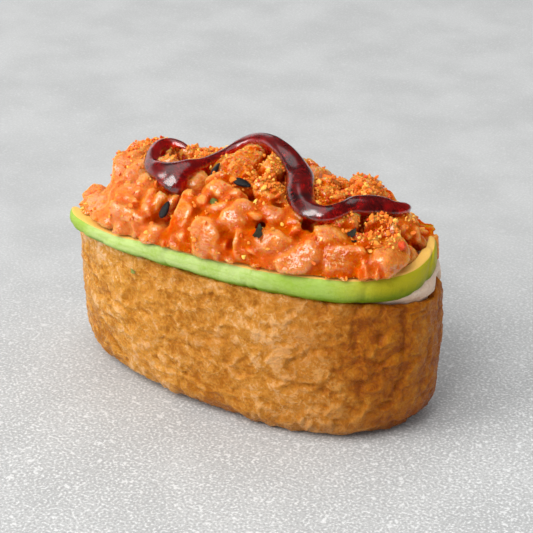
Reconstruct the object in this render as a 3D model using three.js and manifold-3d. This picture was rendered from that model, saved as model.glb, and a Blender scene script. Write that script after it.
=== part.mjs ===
// An inari sushi: an oval fried-tofu pouch filled with rice, a slice of avocado
// bent round each long side of its mouth, a heap of diced salmon on top, and a
// thick ribbon of dark sauce that zigzags over the heap.
//
// Millimetres, +Z up, +X along the pouch's long axis, near side towards -Y.
// The origin is the middle of the whole piece's footprint, on the surface that
// the pouch stands on.

import * as THREE from "three";
import Module from "manifold-3d";
import { mergeVertices } from "three/addons/utils/BufferGeometryUtils.js";

const wasm = await Module();
wasm.setup();

// ---------------------------------------------------------------- dimensions

const POUCH_LENGTH = 70;
const POUCH_WIDTH = 34;
const POUCH_HEIGHT = 27.8;
const OUTLINE_POWER = 2.28; // 2 is an ellipse, more is boxier
const WALL = 1.6;
const FLOOR = 1.8;
const BOTTOM_EDGE_RADIUS = 4.3;
const BOTTOM_TAPER = 1.1; // how much narrower the foot is than the mouth
const BELLY = 0.9; // how far the middle of the wall swells
const GAP = 0.3; // between pieces that touch

const RICE_TOP = POUCH_HEIGHT + 2.0;
const RICE_EDGE_ROUND = 2.2;

const AVOCADO_WIDTH = 3.6;
const AVOCADO_TIP_LENGTH = 5;

const HEAP_LEFT = 34.2; // half lengths of the heap's footprint
const HEAP_RIGHT = 33.4;
const HEAP_HALF_WIDTH = 15;
const HEAP_PLAN_POWER = 2.7;
const HEAP_SECTION_POWER = 2.3;
const HEAP_BASE = RICE_TOP + GAP;
const DICE = 6.2; // edge of a salmon dice
const DICE_RELIEF = 1.5;

const SAUCE_HALF_WIDTH = 1.55;
const SAUCE_HALF_HEIGHT = 1.2;
const SAUCE_SINK = 0.4; // how deep the bead lies in the salmon

const AROUND = 56; // points in one ring of the pouch and the rice

// ------------------------------------------------------------- small helpers

/** The same pseudo-random number from 0 to 1 each time for three numbers. */
function hash(i, j, k) {
  const s = Math.sin(i * 127.1 + j * 311.7 + k * 74.7) * 43758.5453;
  return s - Math.floor(s);
}

/** A value read between evenly curved stations [[x, value], ...]. */
function between(stations, x) {
  if (x <= stations[0][0]) return stations[0][1];
  for (let i = 1; i < stations.length; i++) {
    const [x0, v0] = stations[i - 1];
    const [x1, v1] = stations[i];
    if (x <= x1) {
      return THREE.MathUtils.lerp(v0, v1, THREE.MathUtils.smoothstep(x, x0, x1));
    }
  }
  return stations[stations.length - 1][1];
}

/** Point at an angle on a superellipse with half axes a and b. */
function superellipse(angle, a, b, power) {
  const c = Math.cos(angle);
  const s = Math.sin(angle);
  const x = a * Math.sign(c) * Math.abs(c) ** (2 / power);
  const y = b * Math.sign(s) * Math.abs(s) ** (2 / power);
  return [x, y];
}

function ringAngles(count = AROUND) {
  return Array.from({ length: count }, (_, i) => ((i + 0.5) / count) * 2 * Math.PI);
}

/** A closed body skinned over rings of equal length, both ends shut by a fan. */
function loft(rings) {
  const n = rings[0].length;
  const position = [];
  const index = [];
  for (const ring of rings) {
    for (const p of ring) position.push(p.x, p.y, p.z);
  }
  for (let r = 0; r < rings.length - 1; r++) {
    for (let i = 0; i < n; i++) {
      const a = r * n + i;
      const b = r * n + ((i + 1) % n);
      index.push(a, b, b + n, a, b + n, a + n);
    }
  }
  for (const [ring, first, turn] of [
    [rings[0], 0, 1],
    [rings[rings.length - 1], (rings.length - 1) * n, -1],
  ]) {
    const middle = ring.reduce((sum, p) => sum.add(p), new THREE.Vector3());
    middle.divideScalar(n);
    const m = position.length / 3;
    position.push(middle.x, middle.y, middle.z);
    for (let i = 0; i < n; i++) {
      const a = first + i;
      const b = first + ((i + 1) % n);
      if (turn > 0) index.push(a, m, b);
      else index.push(a, b, m);
    }
  }
  const geometry = new THREE.BufferGeometry();
  geometry.setAttribute("position", new THREE.Float32BufferAttribute(position, 3));
  geometry.setIndex(index);
  return faceOutwards(geometry);
}

/** Turns the faces round if the closed body's volume comes out negative. */
function faceOutwards(geometry) {
  const p = geometry.getAttribute("position");
  const index = geometry.getIndex();
  const [a, b, c] = [new THREE.Vector3(), new THREE.Vector3(), new THREE.Vector3()];
  let volume = 0;
  for (let i = 0; i < index.count; i += 3) {
    a.fromBufferAttribute(p, index.getX(i));
    b.fromBufferAttribute(p, index.getX(i + 1));
    c.fromBufferAttribute(p, index.getX(i + 2));
    volume += a.dot(b.cross(c)) / 6;
  }
  if (volume < 0) index.array.reverse();
  return geometry;
}

function toSolid(geometry) {
  const bare = geometry.clone();
  bare.deleteAttribute("normal");
  bare.deleteAttribute("uv");
  const merged = mergeVertices(bare, 1e-4);
  return new wasm.Manifold(
    new wasm.Mesh({
      numProp: 3,
      vertProperties: new Float32Array(merged.getAttribute("position").array),
      triVerts: new Uint32Array(merged.getIndex().array),
    }),
  );
}

function toGeometry(solid) {
  const mesh = solid.getMesh();
  const geometry = new THREE.BufferGeometry();
  geometry.setAttribute("position", new THREE.Float32BufferAttribute(mesh.vertProperties, 3));
  geometry.setIndex(new THREE.BufferAttribute(mesh.triVerts, 1));
  return geometry;
}

/** The largest body of a solid, without slivers that a cut has left loose. */
function mainBody(solid) {
  const bodies = solid.decompose();
  return bodies.reduce((best, body) => (body.volume() > best.volume() ? body : best));
}

// --------------------------------------------------------------- tofu pouch

/** Soft folds of the pouch's side: how far the skin stands in or out. */
function fold(angle, z) {
  const fade = Math.sin(Math.PI * THREE.MathUtils.clamp(z / POUCH_HEIGHT, 0, 0.72));
  const broad = 0.32 * Math.sin(5 * angle + 0.06 * z + 0.8);
  const middle = 0.22 * Math.sin(11 * angle - 0.11 * z + 2.1);
  const endCreases = 0.3 * Math.max(0, Math.cos(angle)) ** 4 * Math.sin(17 * angle + 0.5);
  return fade * (broad + middle + endCreases);
}

/** One ring of the pouch's outer skin, moved inwards by inset. */
function pouchRing(z, inset, lift = 0) {
  const t = THREE.MathUtils.clamp(z / POUCH_HEIGHT, 0, 1);
  let out = -BOTTOM_TAPER * (1 - t) + BELLY * Math.sin(Math.PI * t) - inset;
  if (z < BOTTOM_EDGE_RADIUS) {
    const up = BOTTOM_EDGE_RADIUS - z;
    out -= BOTTOM_EDGE_RADIUS - Math.sqrt(BOTTOM_EDGE_RADIUS ** 2 - up ** 2);
  }
  return ringAngles().map((angle) => {
    const grow = out + fold(angle, z);
    const [x, y] = superellipse(
      angle, POUCH_LENGTH / 2 + grow, POUCH_WIDTH / 2 + grow, OUTLINE_POWER,
    );
    return new THREE.Vector3(x, y, z + lift);
  });
}

function rimWave(angle) {
  return 0.1 * Math.sin(3 * angle + 0.7) + 0.08 * Math.sin(8 * angle + 1.9) - 0.12;
}

/** A ring of the rim, which rises and falls a little round the mouth. */
function rimRing(z, inset) {
  const angles = ringAngles();
  return pouchRing(z, inset).map((p, i) => p.setZ(p.z + rimWave(angles[i])));
}

function tofuPouch() {
  const outer = [0, 0.35, 1.2, 2.4, 4, 7, 10.5, 14, 17.5, 21, 24.5].map((z) => pouchRing(z, 0));
  const rim = [
    rimRing(POUCH_HEIGHT - WALL / 2, 0),
    rimRing(POUCH_HEIGHT, 0.28 * WALL),
    rimRing(POUCH_HEIGHT, 0.72 * WALL),
    rimRing(POUCH_HEIGHT - WALL / 2, WALL),
  ];
  const inner = [24, 17.5, 10.5, 5, 3, FLOOR].map((z) => pouchRing(z, WALL));
  return loft([...outer, ...rim, ...inner]);
}

// --------------------------------------------------------------------- rice

/** Rice packed into the pouch, standing a little proud of its mouth. */
function riceBody() {
  const below = [FLOOR, 3, 5, 10.5, 17.5, 24].map((z) =>
    pouchRing(z + (z < 4 ? GAP : 0), WALL + GAP),
  );
  const above = [0, 0.35, 0.7, 0.92, 1].map((t) => {
    const z = THREE.MathUtils.lerp(POUCH_HEIGHT, RICE_TOP, t);
    const inset = RICE_EDGE_ROUND * (1 - Math.sqrt(1 - t * t));
    return pouchRing(POUCH_HEIGHT, WALL + GAP + inset, z - POUCH_HEIGHT);
  });
  return loft([...below, ...above]);
}

// ------------------------------------------------------------------ avocado

// The middle of each slice's underside in plan, from its left tip round the long
// side to its right tip, and how high that underside lies.
const NEAR_SLICE_ROUTE = [
  [-31.6, -9.6, 28.5],
  [-27.6, -12.4, 28.3],
  [-18, -14.7, 28.2],
  [-2, -15.5, 28.2],
  [14, -14.7, 28.2],
  [25.5, -11.6, 28.3],
  [31, -6.4, 28.9],
  [32, -0.6, 29.6],
  [30.4, 4.6, 31],
];
const FAR_SLICE_ROUTE = [
  [-27.5, 11.2, 28.7],
  [-21, 13.6, 28.3],
  [-8, 15.2, 28.2],
  [6, 15.2, 28.2],
  [19, 13.8, 28.3],
  [27.5, 10.4, 28.7],
];
const NEAR_SLICE_HEIGHTS = [[0, 3.4], [0.35, 4.1], [0.72, 5.3], [1, 4.2]];
const FAR_SLICE_HEIGHTS = [[0, 3.6], [0.5, 4.8], [1, 3.6]];

/**
 * A long slice of avocado laid along a route: convex outside, with tapering round
 * tips. Grow makes it larger all round, to cut its place out of a neighbour.
 */
function avocadoSlice(route, heights, outwards, grow = 0) {
  const sides = 10;
  const steps = 28;
  const curve = new THREE.CatmullRomCurve3(route.map((p) => new THREE.Vector3(...p)));
  const length = curve.getLength();
  const rings = [];
  for (let i = 0; i <= steps; i++) {
    const s = 0.5 - 0.5 * Math.cos((Math.PI * i) / steps);
    const along = curve.getPointAt(s);
    const tangent = curve.getTangentAt(s);
    const side = new THREE.Vector3(tangent.y, -tangent.x, 0).normalize();
    side.multiplyScalar(outwards);
    const fromTip = Math.min(s, 1 - s) * length;
    const reach = THREE.MathUtils.clamp(fromTip / AVOCADO_TIP_LENGTH, 0, 1);
    const round = Math.max(0.12, Math.sqrt(1 - (1 - reach) ** 2));
    const height = between(heights, s);
    const halfWidth = (AVOCADO_WIDTH / 2) * round + grow;
    const halfHeight = (height / 2) * (0.45 + 0.55 * round) + grow;
    const ring = [];
    for (let k = 0; k < sides; k++) {
      const [u, v] = superellipse(((k + 0.5) / sides) * 2 * Math.PI, halfWidth, halfHeight, 3);
      const bulge = u > 0 ? 0.35 * (1 - (v / halfHeight) ** 2) * round : 0;
      ring.push(
        along.clone().addScaledVector(side, u + bulge).add(new THREE.Vector3(0, 0, height / 2 + v)),
      );
    }
    rings.push(ring);
  }
  if (grow > 0) {
    for (const [ring, s, turn] of [[rings[0], 0, -1], [rings[steps], 1, 1]]) {
      const push = curve.getTangentAt(s).multiplyScalar(turn * grow);
      for (const p of ring) p.add(push);
    }
  }
  return loft(rings);
}

// -------------------------------------------------------------- salmon heap

// The crest line: how high the heap stands above its base along its length. A low
// dice lies at the left end, and a steep shoulder rises behind it.
const CREST = [
  [-34.6, 1], [-30.5, 2.6], [-27.6, 10.2], [-24, 11.6], [-17, 11.8], [-9, 11.2], [-4, 11.8],
  [1, 13.8], [7, 13.4], [13, 11.6], [20, 11.4], [27, 11.4], [30.5, 10.2], [33.5, 6],
];

function heapReach(x) {
  return x < 0 ? HEAP_LEFT : HEAP_RIGHT;
}

/** Half the heap's width at a station along its length. */
function heapHalfWidth(x) {
  const left = Math.max(0, 1 - Math.abs(x / heapReach(x)) ** HEAP_PLAN_POWER);
  return HEAP_HALF_WIDTH * left ** (1 / HEAP_PLAN_POWER);
}

/** The heap's height above its base on the crest line, steep at both ends. */
function heapCrest(x) {
  return between(CREST, x) * Math.sqrt(Math.max(0, 1 - Math.abs(x / heapReach(x)) ** 9));
}

/** Height of the smooth mound that the dice make up, at a place in plan. */
function mound(x, y) {
  const across = Math.min(1, Math.abs(y / Math.max(heapHalfWidth(x), 0.01)));
  const share = (1 - across ** HEAP_SECTION_POWER) ** (1 / HEAP_SECTION_POWER);
  return HEAP_BASE + heapCrest(x) * share;
}

/** Relief of the dice at a point: each jittered cell stands in or out as a block. */
function diceRelief(p) {
  const cell = [p.x, p.y, p.z].map((value) => Math.floor(value / DICE));
  let nearest = Infinity;
  let relief = 0;
  for (let i = cell[0] - 1; i <= cell[0] + 1; i++) {
    for (let j = cell[1] - 1; j <= cell[1] + 1; j++) {
      for (let k = cell[2] - 1; k <= cell[2] + 1; k++) {
        const seed = i + 31 * k;
        const distance = Math.hypot(
          p.x - (i + 0.2 + 0.6 * hash(seed, j, 1)) * DICE,
          p.y - (j + 0.2 + 0.6 * hash(seed, j, 2)) * DICE,
          p.z - (k + 0.2 + 0.6 * hash(seed, j, 3)) * DICE,
        );
        if (distance < nearest) {
          nearest = distance;
          relief = DICE_RELIEF * (hash(seed, j, 4) - 0.6);
        }
      }
    }
  }
  return relief;
}

/** A section across the heap: over the top from near to far, back underneath. */
function heapSection(x) {
  const overPoints = 20;
  const underPoints = 5;
  const halfWidth = heapHalfWidth(x);
  const height = Math.max(0.5, heapCrest(x));
  const ring = [];
  for (let i = 0; i <= overPoints; i++) {
    const angle = (Math.PI * i) / overPoints;
    const [y, z] = superellipse(angle, -halfWidth, height, HEAP_SECTION_POWER);
    const p = new THREE.Vector3(x, y, HEAP_BASE + Math.abs(z));
    const outwards = new THREE.Vector3(0, y / halfWidth ** 2, z / height ** 2).normalize();
    const clear = THREE.MathUtils.smoothstep(z, 0.4, 3);
    ring.push(p.addScaledVector(outwards, clear * diceRelief(p)));
  }
  for (let i = 1; i < underPoints; i++) {
    const y = THREE.MathUtils.lerp(halfWidth, -halfWidth, i / underPoints);
    ring.push(new THREE.Vector3(x, y, HEAP_BASE));
  }
  return ring;
}

function heapBody() {
  const sections = 40;
  const rings = [];
  for (let i = 0; i <= sections; i++) {
    const share = -Math.cos((Math.PI * i) / sections) * 0.999;
    rings.push(heapSection(share * (share < 0 ? HEAP_LEFT : HEAP_RIGHT)));
  }
  return loft(rings);
}

// ------------------------------------------------------------- sauce ribbon

// The ribbon's route in plan: it starts behind the left shoulder, loops back on
// itself, swings over the crest, hooks down the near side and ends at the right.
const SAUCE_ROUTE = [
  [-13.5, 2.5], [-18, 3], [-20.8, 0.5], [-19.4, -4.5], [-15.8, -7.4], [-11.5, -8.2],
  [-8.6, -4.5], [-6.2, 1], [-1.2, 4.8], [5, 4.2], [9.4, 0], [11, -5],
  [14.6, -8.4], [18.2, -8.2], [20.2, -3.8], [24, -0.4], [28.4, 2],
];

function sauceRibbon(grow = 0) {
  const sides = 8;
  const steps = 56;
  const route = SAUCE_ROUTE.map(([x, y]) => new THREE.Vector3(x, y, 0));
  const plan = new THREE.CatmullRomCurve3(route);
  const rings = [];
  const up = new THREE.Vector3(0, 0, 1);
  for (let i = 0; i <= steps; i++) {
    const s = i / steps;
    const p = plan.getPointAt(s);
    const tangent = plan.getTangentAt(s);
    const side = new THREE.Vector3(tangent.y, -tangent.x, 0).normalize();
    const fromEnd = Math.min(s, 1 - s) * plan.getLength();
    const round = Math.sqrt(1 - (1 - THREE.MathUtils.clamp(fromEnd / 3, 0.05, 1)) ** 2);
    const z = mound(p.x, p.y) + SAUCE_HALF_HEIGHT - SAUCE_SINK;
    const ring = [];
    for (let k = 0; k < sides; k++) {
      const angle = ((k + 0.5) / sides) * 2 * Math.PI;
      const u = Math.cos(angle) * (SAUCE_HALF_WIDTH * round + grow);
      const v = Math.sin(angle) * (SAUCE_HALF_HEIGHT * round + grow);
      ring.push(
        new THREE.Vector3(p.x, p.y, z).addScaledVector(side, u).addScaledVector(up, v),
      );
    }
    rings.push(ring);
  }
  if (grow > 0) {
    for (const [ring, s, turn] of [[rings[0], 0, -1], [rings[steps], 1, 1]]) {
      const push = plan.getTangentAt(s).multiplyScalar(turn * grow);
      for (const p of ring) p.add(push);
    }
  }
  return loft(rings);
}

// --------------------------------------------------------- pieces in a group

function finish(color, roughness) {
  return new THREE.MeshStandardMaterial({ color, roughness, metalness: 0 });
}

const nearSlice = avocadoSlice(NEAR_SLICE_ROUTE, NEAR_SLICE_HEIGHTS, 1);
const farSlice = avocadoSlice(FAR_SLICE_ROUTE, FAR_SLICE_HEIGHTS, -1);
const slicePlaces = [
  avocadoSlice(NEAR_SLICE_ROUTE, NEAR_SLICE_HEIGHTS, 1, GAP),
  avocadoSlice(FAR_SLICE_ROUTE, FAR_SLICE_HEIGHTS, -1, GAP),
].map(toSolid);

let rice = toSolid(riceBody());
let heap = toSolid(heapBody());
for (const place of slicePlaces) {
  rice = rice.subtract(place);
  heap = heap.subtract(place);
}
heap = heap.subtract(toSolid(sauceRibbon(GAP)));

const pieces = [
  ["tofu_pouch", tofuPouch(), finish(0xc68a3c, 0.5)],
  ["rice", toGeometry(mainBody(rice)), finish(0xe8ddcc, 0.45)],
  ["avocado_near", nearSlice, finish(0xa9cf55, 0.4)],
  ["avocado_far", farSlice, finish(0xa9cf55, 0.4)],
  ["salmon_heap", toGeometry(mainBody(heap)), finish(0xe56a2c, 0.3)],
  ["sauce_ribbon", sauceRibbon(), finish(0x5a1813, 0.12)],
];

const group = new THREE.Group();
for (const [name, geometry, material] of pieces) {
  const mesh = new THREE.Mesh(geometry, material);
  mesh.name = name;
  group.add(mesh);
}

// The origin goes to the middle of the footprint, on the standing surface.
const box = new THREE.Box3().setFromObject(group);
group.position.set(-(box.min.x + box.max.x) / 2, -(box.min.y + box.max.y) / 2, -box.min.z);
group.updateMatrixWorld(true);

export default group;
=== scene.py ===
"""The looks of one inari sushi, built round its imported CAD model.

An oval fried-tofu pouch is filled with rice, a slice of avocado is bent round each
long side of its mouth, diced salmon is heaped on top, and a thick bead of dark sauce
zigzags over the heap, with spice granules, sesame and herb flakes.

Shapes are worked out in millimetres from the middle of the pouch's underside, with
+X along the pouch, the near side towards -Y and +Z up. Workshop turns them into
pieces in metres, in the model's own frame.
"""

import logging
import math
from abc import ABC, abstractmethod
from dataclasses import dataclass, field
from enum import Enum

import bpy
import numpy as np
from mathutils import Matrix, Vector
from mathutils.bvhtree import BVHTree


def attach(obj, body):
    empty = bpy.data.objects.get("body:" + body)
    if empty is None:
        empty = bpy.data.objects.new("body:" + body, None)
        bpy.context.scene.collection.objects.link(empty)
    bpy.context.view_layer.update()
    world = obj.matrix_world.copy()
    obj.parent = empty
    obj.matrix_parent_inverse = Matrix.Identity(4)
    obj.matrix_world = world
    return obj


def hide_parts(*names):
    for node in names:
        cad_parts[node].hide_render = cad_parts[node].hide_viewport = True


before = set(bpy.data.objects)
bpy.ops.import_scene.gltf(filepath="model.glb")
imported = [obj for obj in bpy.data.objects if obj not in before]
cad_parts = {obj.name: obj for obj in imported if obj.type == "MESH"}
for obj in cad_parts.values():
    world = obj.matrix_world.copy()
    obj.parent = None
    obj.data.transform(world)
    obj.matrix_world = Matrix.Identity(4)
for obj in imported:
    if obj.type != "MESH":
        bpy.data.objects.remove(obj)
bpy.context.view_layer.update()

MM = 0.001
FINE_STEPS = 40
# Where rays start, and the height taken where no salmon is met, in millimetres.
ABOVE_HEAP = 80.0
BEFORE_POUCH = -40.0
BARE_HEIGHT = 30.0
Triple = tuple[float, float, float]
Colour = Triple
Stations = tuple[tuple[float, float], ...]
Hit = tuple[np.ndarray, np.ndarray]
Socket = bpy.types.NodeSocket
Sockets = bpy.types.bpy_prop_collection
Value = Socket | float | Colour
log = logging.getLogger("inari")


# ------------------------------------------------------------------ numbers


class Noise:
    """Repeatable noise in space, worked out for many points at once."""

    MIXERS = np.array([374761393, 668265263, 2246822519, 3266489917], np.uint32)
    SALT = 2654435761

    def __init__(self, seed: int) -> None:
        """Keeps the seed that every value is drawn from."""
        self.seed = seed

    def _hash(self, cell: np.ndarray, salt: int = 0) -> np.ndarray:
        """Pseudo-random values for whole-number cells.

        Args:
            cell: Whole numbers, three to a row.
            salt: Makes a further independent value for the same cells.

        Returns:
            One value from 0 to 1 for each row.
        """
        a, b, c, d = self.MIXERS
        with np.errstate(over="ignore"):
            x, y, z = np.moveaxis(cell.astype(np.int64).astype(np.uint32), -1, 0)
            mix = x * a + y * b + z * c
            mix = mix + np.uint32((self.seed * int(d) + salt * self.SALT) % 2**32)
            mix = (mix ^ (mix >> np.uint32(15))) * c
            mix = (mix ^ (mix >> np.uint32(13))) * d
            mix = mix ^ (mix >> np.uint32(16))
        return mix.astype(np.float64) / 2**32

    def smooth(self, points: np.ndarray, size: float) -> np.ndarray:
        """Soft random swells of one size.

        Args:
            points: Places, three coordinates to a row.
            size: Distance between neighbouring swells.

        Returns:
            One value from -1 to 1 for each place.
        """
        q = points / size
        cell = np.floor(q)
        t = q - cell
        t = t * t * t * (t * (6 * t - 15) + 10)
        total = np.zeros(len(points))
        for corner in np.ndindex(2, 2, 2):
            weight = np.prod(np.where(corner, t, 1 - t), axis=1)
            total += weight * self._hash(cell + np.array(corner))
        return 2 * total - 1

    def fractal(self, points: np.ndarray, size: float, octaves: int) -> np.ndarray:
        """Swells with ever finer ones on them.

        Args:
            points: Places, three coordinates to a row.
            size: Size of the largest swells.
            octaves: How many sizes are added up.

        Returns:
            One value of about -1 to 1 for each place.
        """
        total = np.zeros(len(points))
        for octave in range(octaves):
            share = 0.5**octave
            total += share * self.smooth(points + 17.3 * octave, size * share)
        return total / (2 - 0.5 ** (octaves - 1))

    def creases(self, points: np.ndarray, size: float) -> np.ndarray:
        """Sharp valleys between rounded lobes.

        Args:
            points: Places, three coordinates to a row.
            size: Distance between neighbouring swells.

        Returns:
            0 in a valley and up to 1 on a lobe, for each place.
        """
        return np.sqrt(np.abs(self.smooth(points, size)))

    def cells(self, points: np.ndarray, size: float) -> tuple[np.ndarray, np.ndarray]:
        """Distance to scattered centres.

        Args:
            points: Places, three coordinates to a row.
            size: Distance between neighbouring centres.

        Returns:
            The distance to the nearest centre in units of size, and that centre's
            own value from 0 to 1, for each place.
        """
        q = points / size
        cell = np.floor(q)
        nearest = np.full(len(points), 9.0)
        value = np.zeros(len(points))
        for step in np.ndindex(3, 3, 3):
            there = cell + np.array(step) - 1
            centre = there + np.stack([self._hash(there, k) for k in (1, 2, 3)], axis=1)
            distance = np.linalg.norm(q - centre, axis=1)
            closer = distance < nearest
            nearest = np.where(closer, distance, nearest)
            value = np.where(closer, self._hash(there, 4), value)
        return nearest, value


def ease(value: np.ndarray, low: float, high: float) -> np.ndarray:
    """A soft step from 0 at low to 1 at high."""
    t = np.clip((value - low) / (high - low), 0, 1)
    return t * t * (3 - 2 * t)


def stations(table: Stations, x: np.ndarray) -> np.ndarray:
    """Values read from a table with an eased passage between its entries.

    Args:
        table: Places in order, each with its value.
        x: The places to read at.

    Returns:
        One value for each place.
    """
    x = np.asarray(x, float)
    value = np.full_like(x, table[0][1])
    for (x0, v0), (x1, v1) in zip(table, table[1:]):
        value = np.where(x > x0, v0 + (v1 - v0) * ease(x, x0, x1), value)
    return value


def superellipse(angle: np.ndarray, a: np.ndarray, b: np.ndarray, power: float) -> np.ndarray:
    """Points at angles on a superellipse.

    Args:
        angle: Angles in radians.
        a: Half the width on the first axis.
        b: Half the width on the second axis.
        power: 2 for an ellipse, more for a boxier outline.

    Returns:
        Two coordinates for each angle, in a last dimension.
    """
    c, s = np.cos(angle), np.sin(angle)
    first = a * np.sign(c) * np.abs(c) ** (2 / power)
    second = b * np.sign(s) * np.abs(s) ** (2 / power)
    return np.stack([first, second], axis=-1)


def spline(points: np.ndarray, count: int) -> np.ndarray:
    """A smooth curve through points, at even distances along it.

    Args:
        points: Points to pass through, in order.
        count: How many points to give back.

    Returns:
        The curve's points.
    """
    p = np.vstack([2 * points[0] - points[1], points, 2 * points[-1] - points[-2]])
    fine = []
    t = np.linspace(0, 1, FINE_STEPS, endpoint=False)[:, None]
    for i in range(1, len(p) - 2):
        a, b, c, d = p[i - 1], p[i], p[i + 1], p[i + 2]
        fine.append(0.5 * (2 * b + (c - a) * t + (2 * a - 5 * b + 4 * c - d) * t**2
                           + (3 * b - a - 3 * c + d) * t**3))
    fine = np.vstack([*fine, points[-1:]])
    gone = np.r_[0, np.cumsum(np.linalg.norm(np.diff(fine, axis=0), axis=1))]
    even = np.linspace(0, gone[-1], count)
    return np.stack([np.interp(even, gone, fine[:, k]) for k in range(fine.shape[1])], axis=1)


def circle(sides: int) -> np.ndarray:
    """Angles once round, evenly spread, in radians."""
    return np.linspace(0, 2 * np.pi, sides, endpoint=False)


def unit(vectors: np.ndarray) -> np.ndarray:
    """Vectors scaled to length 1."""
    return vectors / np.maximum(np.linalg.norm(vectors, axis=-1, keepdims=True), 1e-12)


def random_turns(rng: np.random.Generator, count: int) -> np.ndarray:
    """Rotations with every direction equally likely.

    Args:
        rng: Draws them.
        count: How many there are.

    Returns:
        One 3 by 3 matrix for each.
    """
    q = unit(rng.normal(size=(count, 4)))
    w, x, y, z = q.T
    rows = [[1 - 2 * (y * y + z * z), 2 * (x * y - w * z), 2 * (x * z + w * y)],
            [2 * (x * y + w * z), 1 - 2 * (x * x + z * z), 2 * (y * z - w * x)],
            [2 * (x * z - w * y), 2 * (y * z + w * x), 1 - 2 * (x * x + y * y)]]
    return np.moveaxis(np.array(rows), 2, 0)


def axes_on(normal: np.ndarray, turn: float, along: np.ndarray | None = None) -> np.ndarray:
    """Axes for a thing lying on a surface.

    Args:
        normal: The surface's outward direction.
        turn: Angle in radians of the thing's own first axis round the normal.
        along: Direction that a turn of 0 points in, +X if not given.

    Returns:
        A 3 by 3 array whose columns are the thing's axes.
    """
    up = unit(np.asarray(normal, float))
    start = np.array([1.0, 0, 0]) if along is None else along
    if abs(up @ start) > 0.95:
        start = np.array([0, 1.0, 0])
    first = unit(start - up * (start @ up))
    second = np.cross(up, first)
    turned = first * math.cos(turn) + second * math.sin(turn)
    return np.stack([turned, np.cross(up, turned), up], axis=1)


# ------------------------------------------------------------------- meshes


@dataclass
class Skin:
    """Points and faces of one mesh, with values that its material reads."""

    points: np.ndarray
    faces: list[list[int]]
    fields: dict[str, np.ndarray] = field(default_factory=dict)

    @staticmethod
    def joined(skins: list["Skin"]) -> "Skin":
        """Several skins as one.

        Args:
            skins: Skins with the same fields.

        Returns:
            One skin.
        """
        start = np.cumsum([0] + [len(s.points) for s in skins])
        faces = [[v + o for v in f] for s, o in zip(skins, start.tolist()) for f in s.faces]
        fields = {k: np.concatenate([s.fields[k] for s in skins]) for k in skins[0].fields}
        return Skin(np.vstack([s.points for s in skins]), faces, fields)

    def edges(self) -> np.ndarray:
        """Pairs of neighbouring points, each pair once for every square that has it."""
        quads = np.array(self.faces)
        return np.concatenate([quads[:, [k, (k + 1) % 4]] for k in range(4)])

    def largest(self) -> "Skin":
        """The largest connected part of a skin without fields.

        Returns:
            That part alone.
        """
        a, b = self.edges().T
        label = np.arange(len(self.points))
        while True:
            low = np.minimum(label[a], label[b])
            fresh = label.copy()
            np.minimum.at(fresh, a, low)
            np.minimum.at(fresh, b, low)
            fresh = fresh[fresh]
            if (fresh == label).all():
                break
            label = fresh
        names, counts = np.unique(label, return_counts=True)
        kept = label == names[counts.argmax()]
        number = np.cumsum(kept) - 1
        quads = np.array(self.faces)
        quads = number[quads[kept[quads[:, 0]]]]
        return Skin(self.points[kept], quads.tolist())

    def normals(self) -> np.ndarray:
        """Which way the skin faces at each point, if its faces are all squares.

        Returns:
            Outward directions of length 1.
        """
        quads = np.array(self.faces)
        p = self.points
        across = np.cross(p[quads[:, 2]] - p[quads[:, 0]], p[quads[:, 3]] - p[quads[:, 1]])
        total = np.zeros_like(p)
        for corner in range(4):
            for axis in range(3):
                total[:, axis] += np.bincount(quads[:, corner], across[:, axis], len(p))
        return unit(total)

    def eased(self, values: np.ndarray, rounds: int) -> np.ndarray:
        """Values averaged with their neighbours'.

        Args:
            values: A row for each point.
            rounds: How often they are averaged.

        Returns:
            The averaged rows.
        """
        a, b = self.edges().T
        count = len(self.points)
        share = np.bincount(a, minlength=count) + np.bincount(b, minlength=count)
        for _ in range(rounds):
            total = np.stack([np.bincount(a, column[b], count) + np.bincount(b, column[a], count)
                              for column in values.T], axis=1)
            values = total / share[:, None]
        return values

    def standing(self, rounds: int) -> np.ndarray:
        """How far each point stands out of its surroundings, below 0 in a hollow."""
        return np.sum((self.points - self.eased(self.points, rounds)) * self.normals(), axis=1)


def loft(grid: np.ndarray, **fields: np.ndarray) -> Skin:
    """A closed skin over a grid of rings, shut by a fan at both ends.

    Args:
        grid: Points by ring and by place in the ring.
        fields: Values by ring and by place in the ring.

    Returns:
        The skin.
    """
    rows, columns = grid.shape[:2]
    i = np.arange(columns)
    j = (i + 1) % columns
    start = (np.arange(rows - 1) * columns)[:, None]
    quads = np.stack([start + i, start + j, start + columns + j, start + columns + i], axis=2)
    faces = quads.reshape(-1, 4).tolist()
    first, end = rows * columns, (rows - 1) * columns
    faces += [[first, b, a] for a, b in zip(i.tolist(), j.tolist())]
    faces += [[first + 1, end + a, end + b] for a, b in zip(i.tolist(), j.tolist())]
    ends = np.stack([grid[0].mean(0), grid[-1].mean(0)])
    values = {k: np.r_[v.ravel(), v[0].mean(), v[-1].mean()] for k, v in fields.items()}
    return Skin(np.vstack([grid.reshape(-1, 3), ends]), faces, values)


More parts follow.
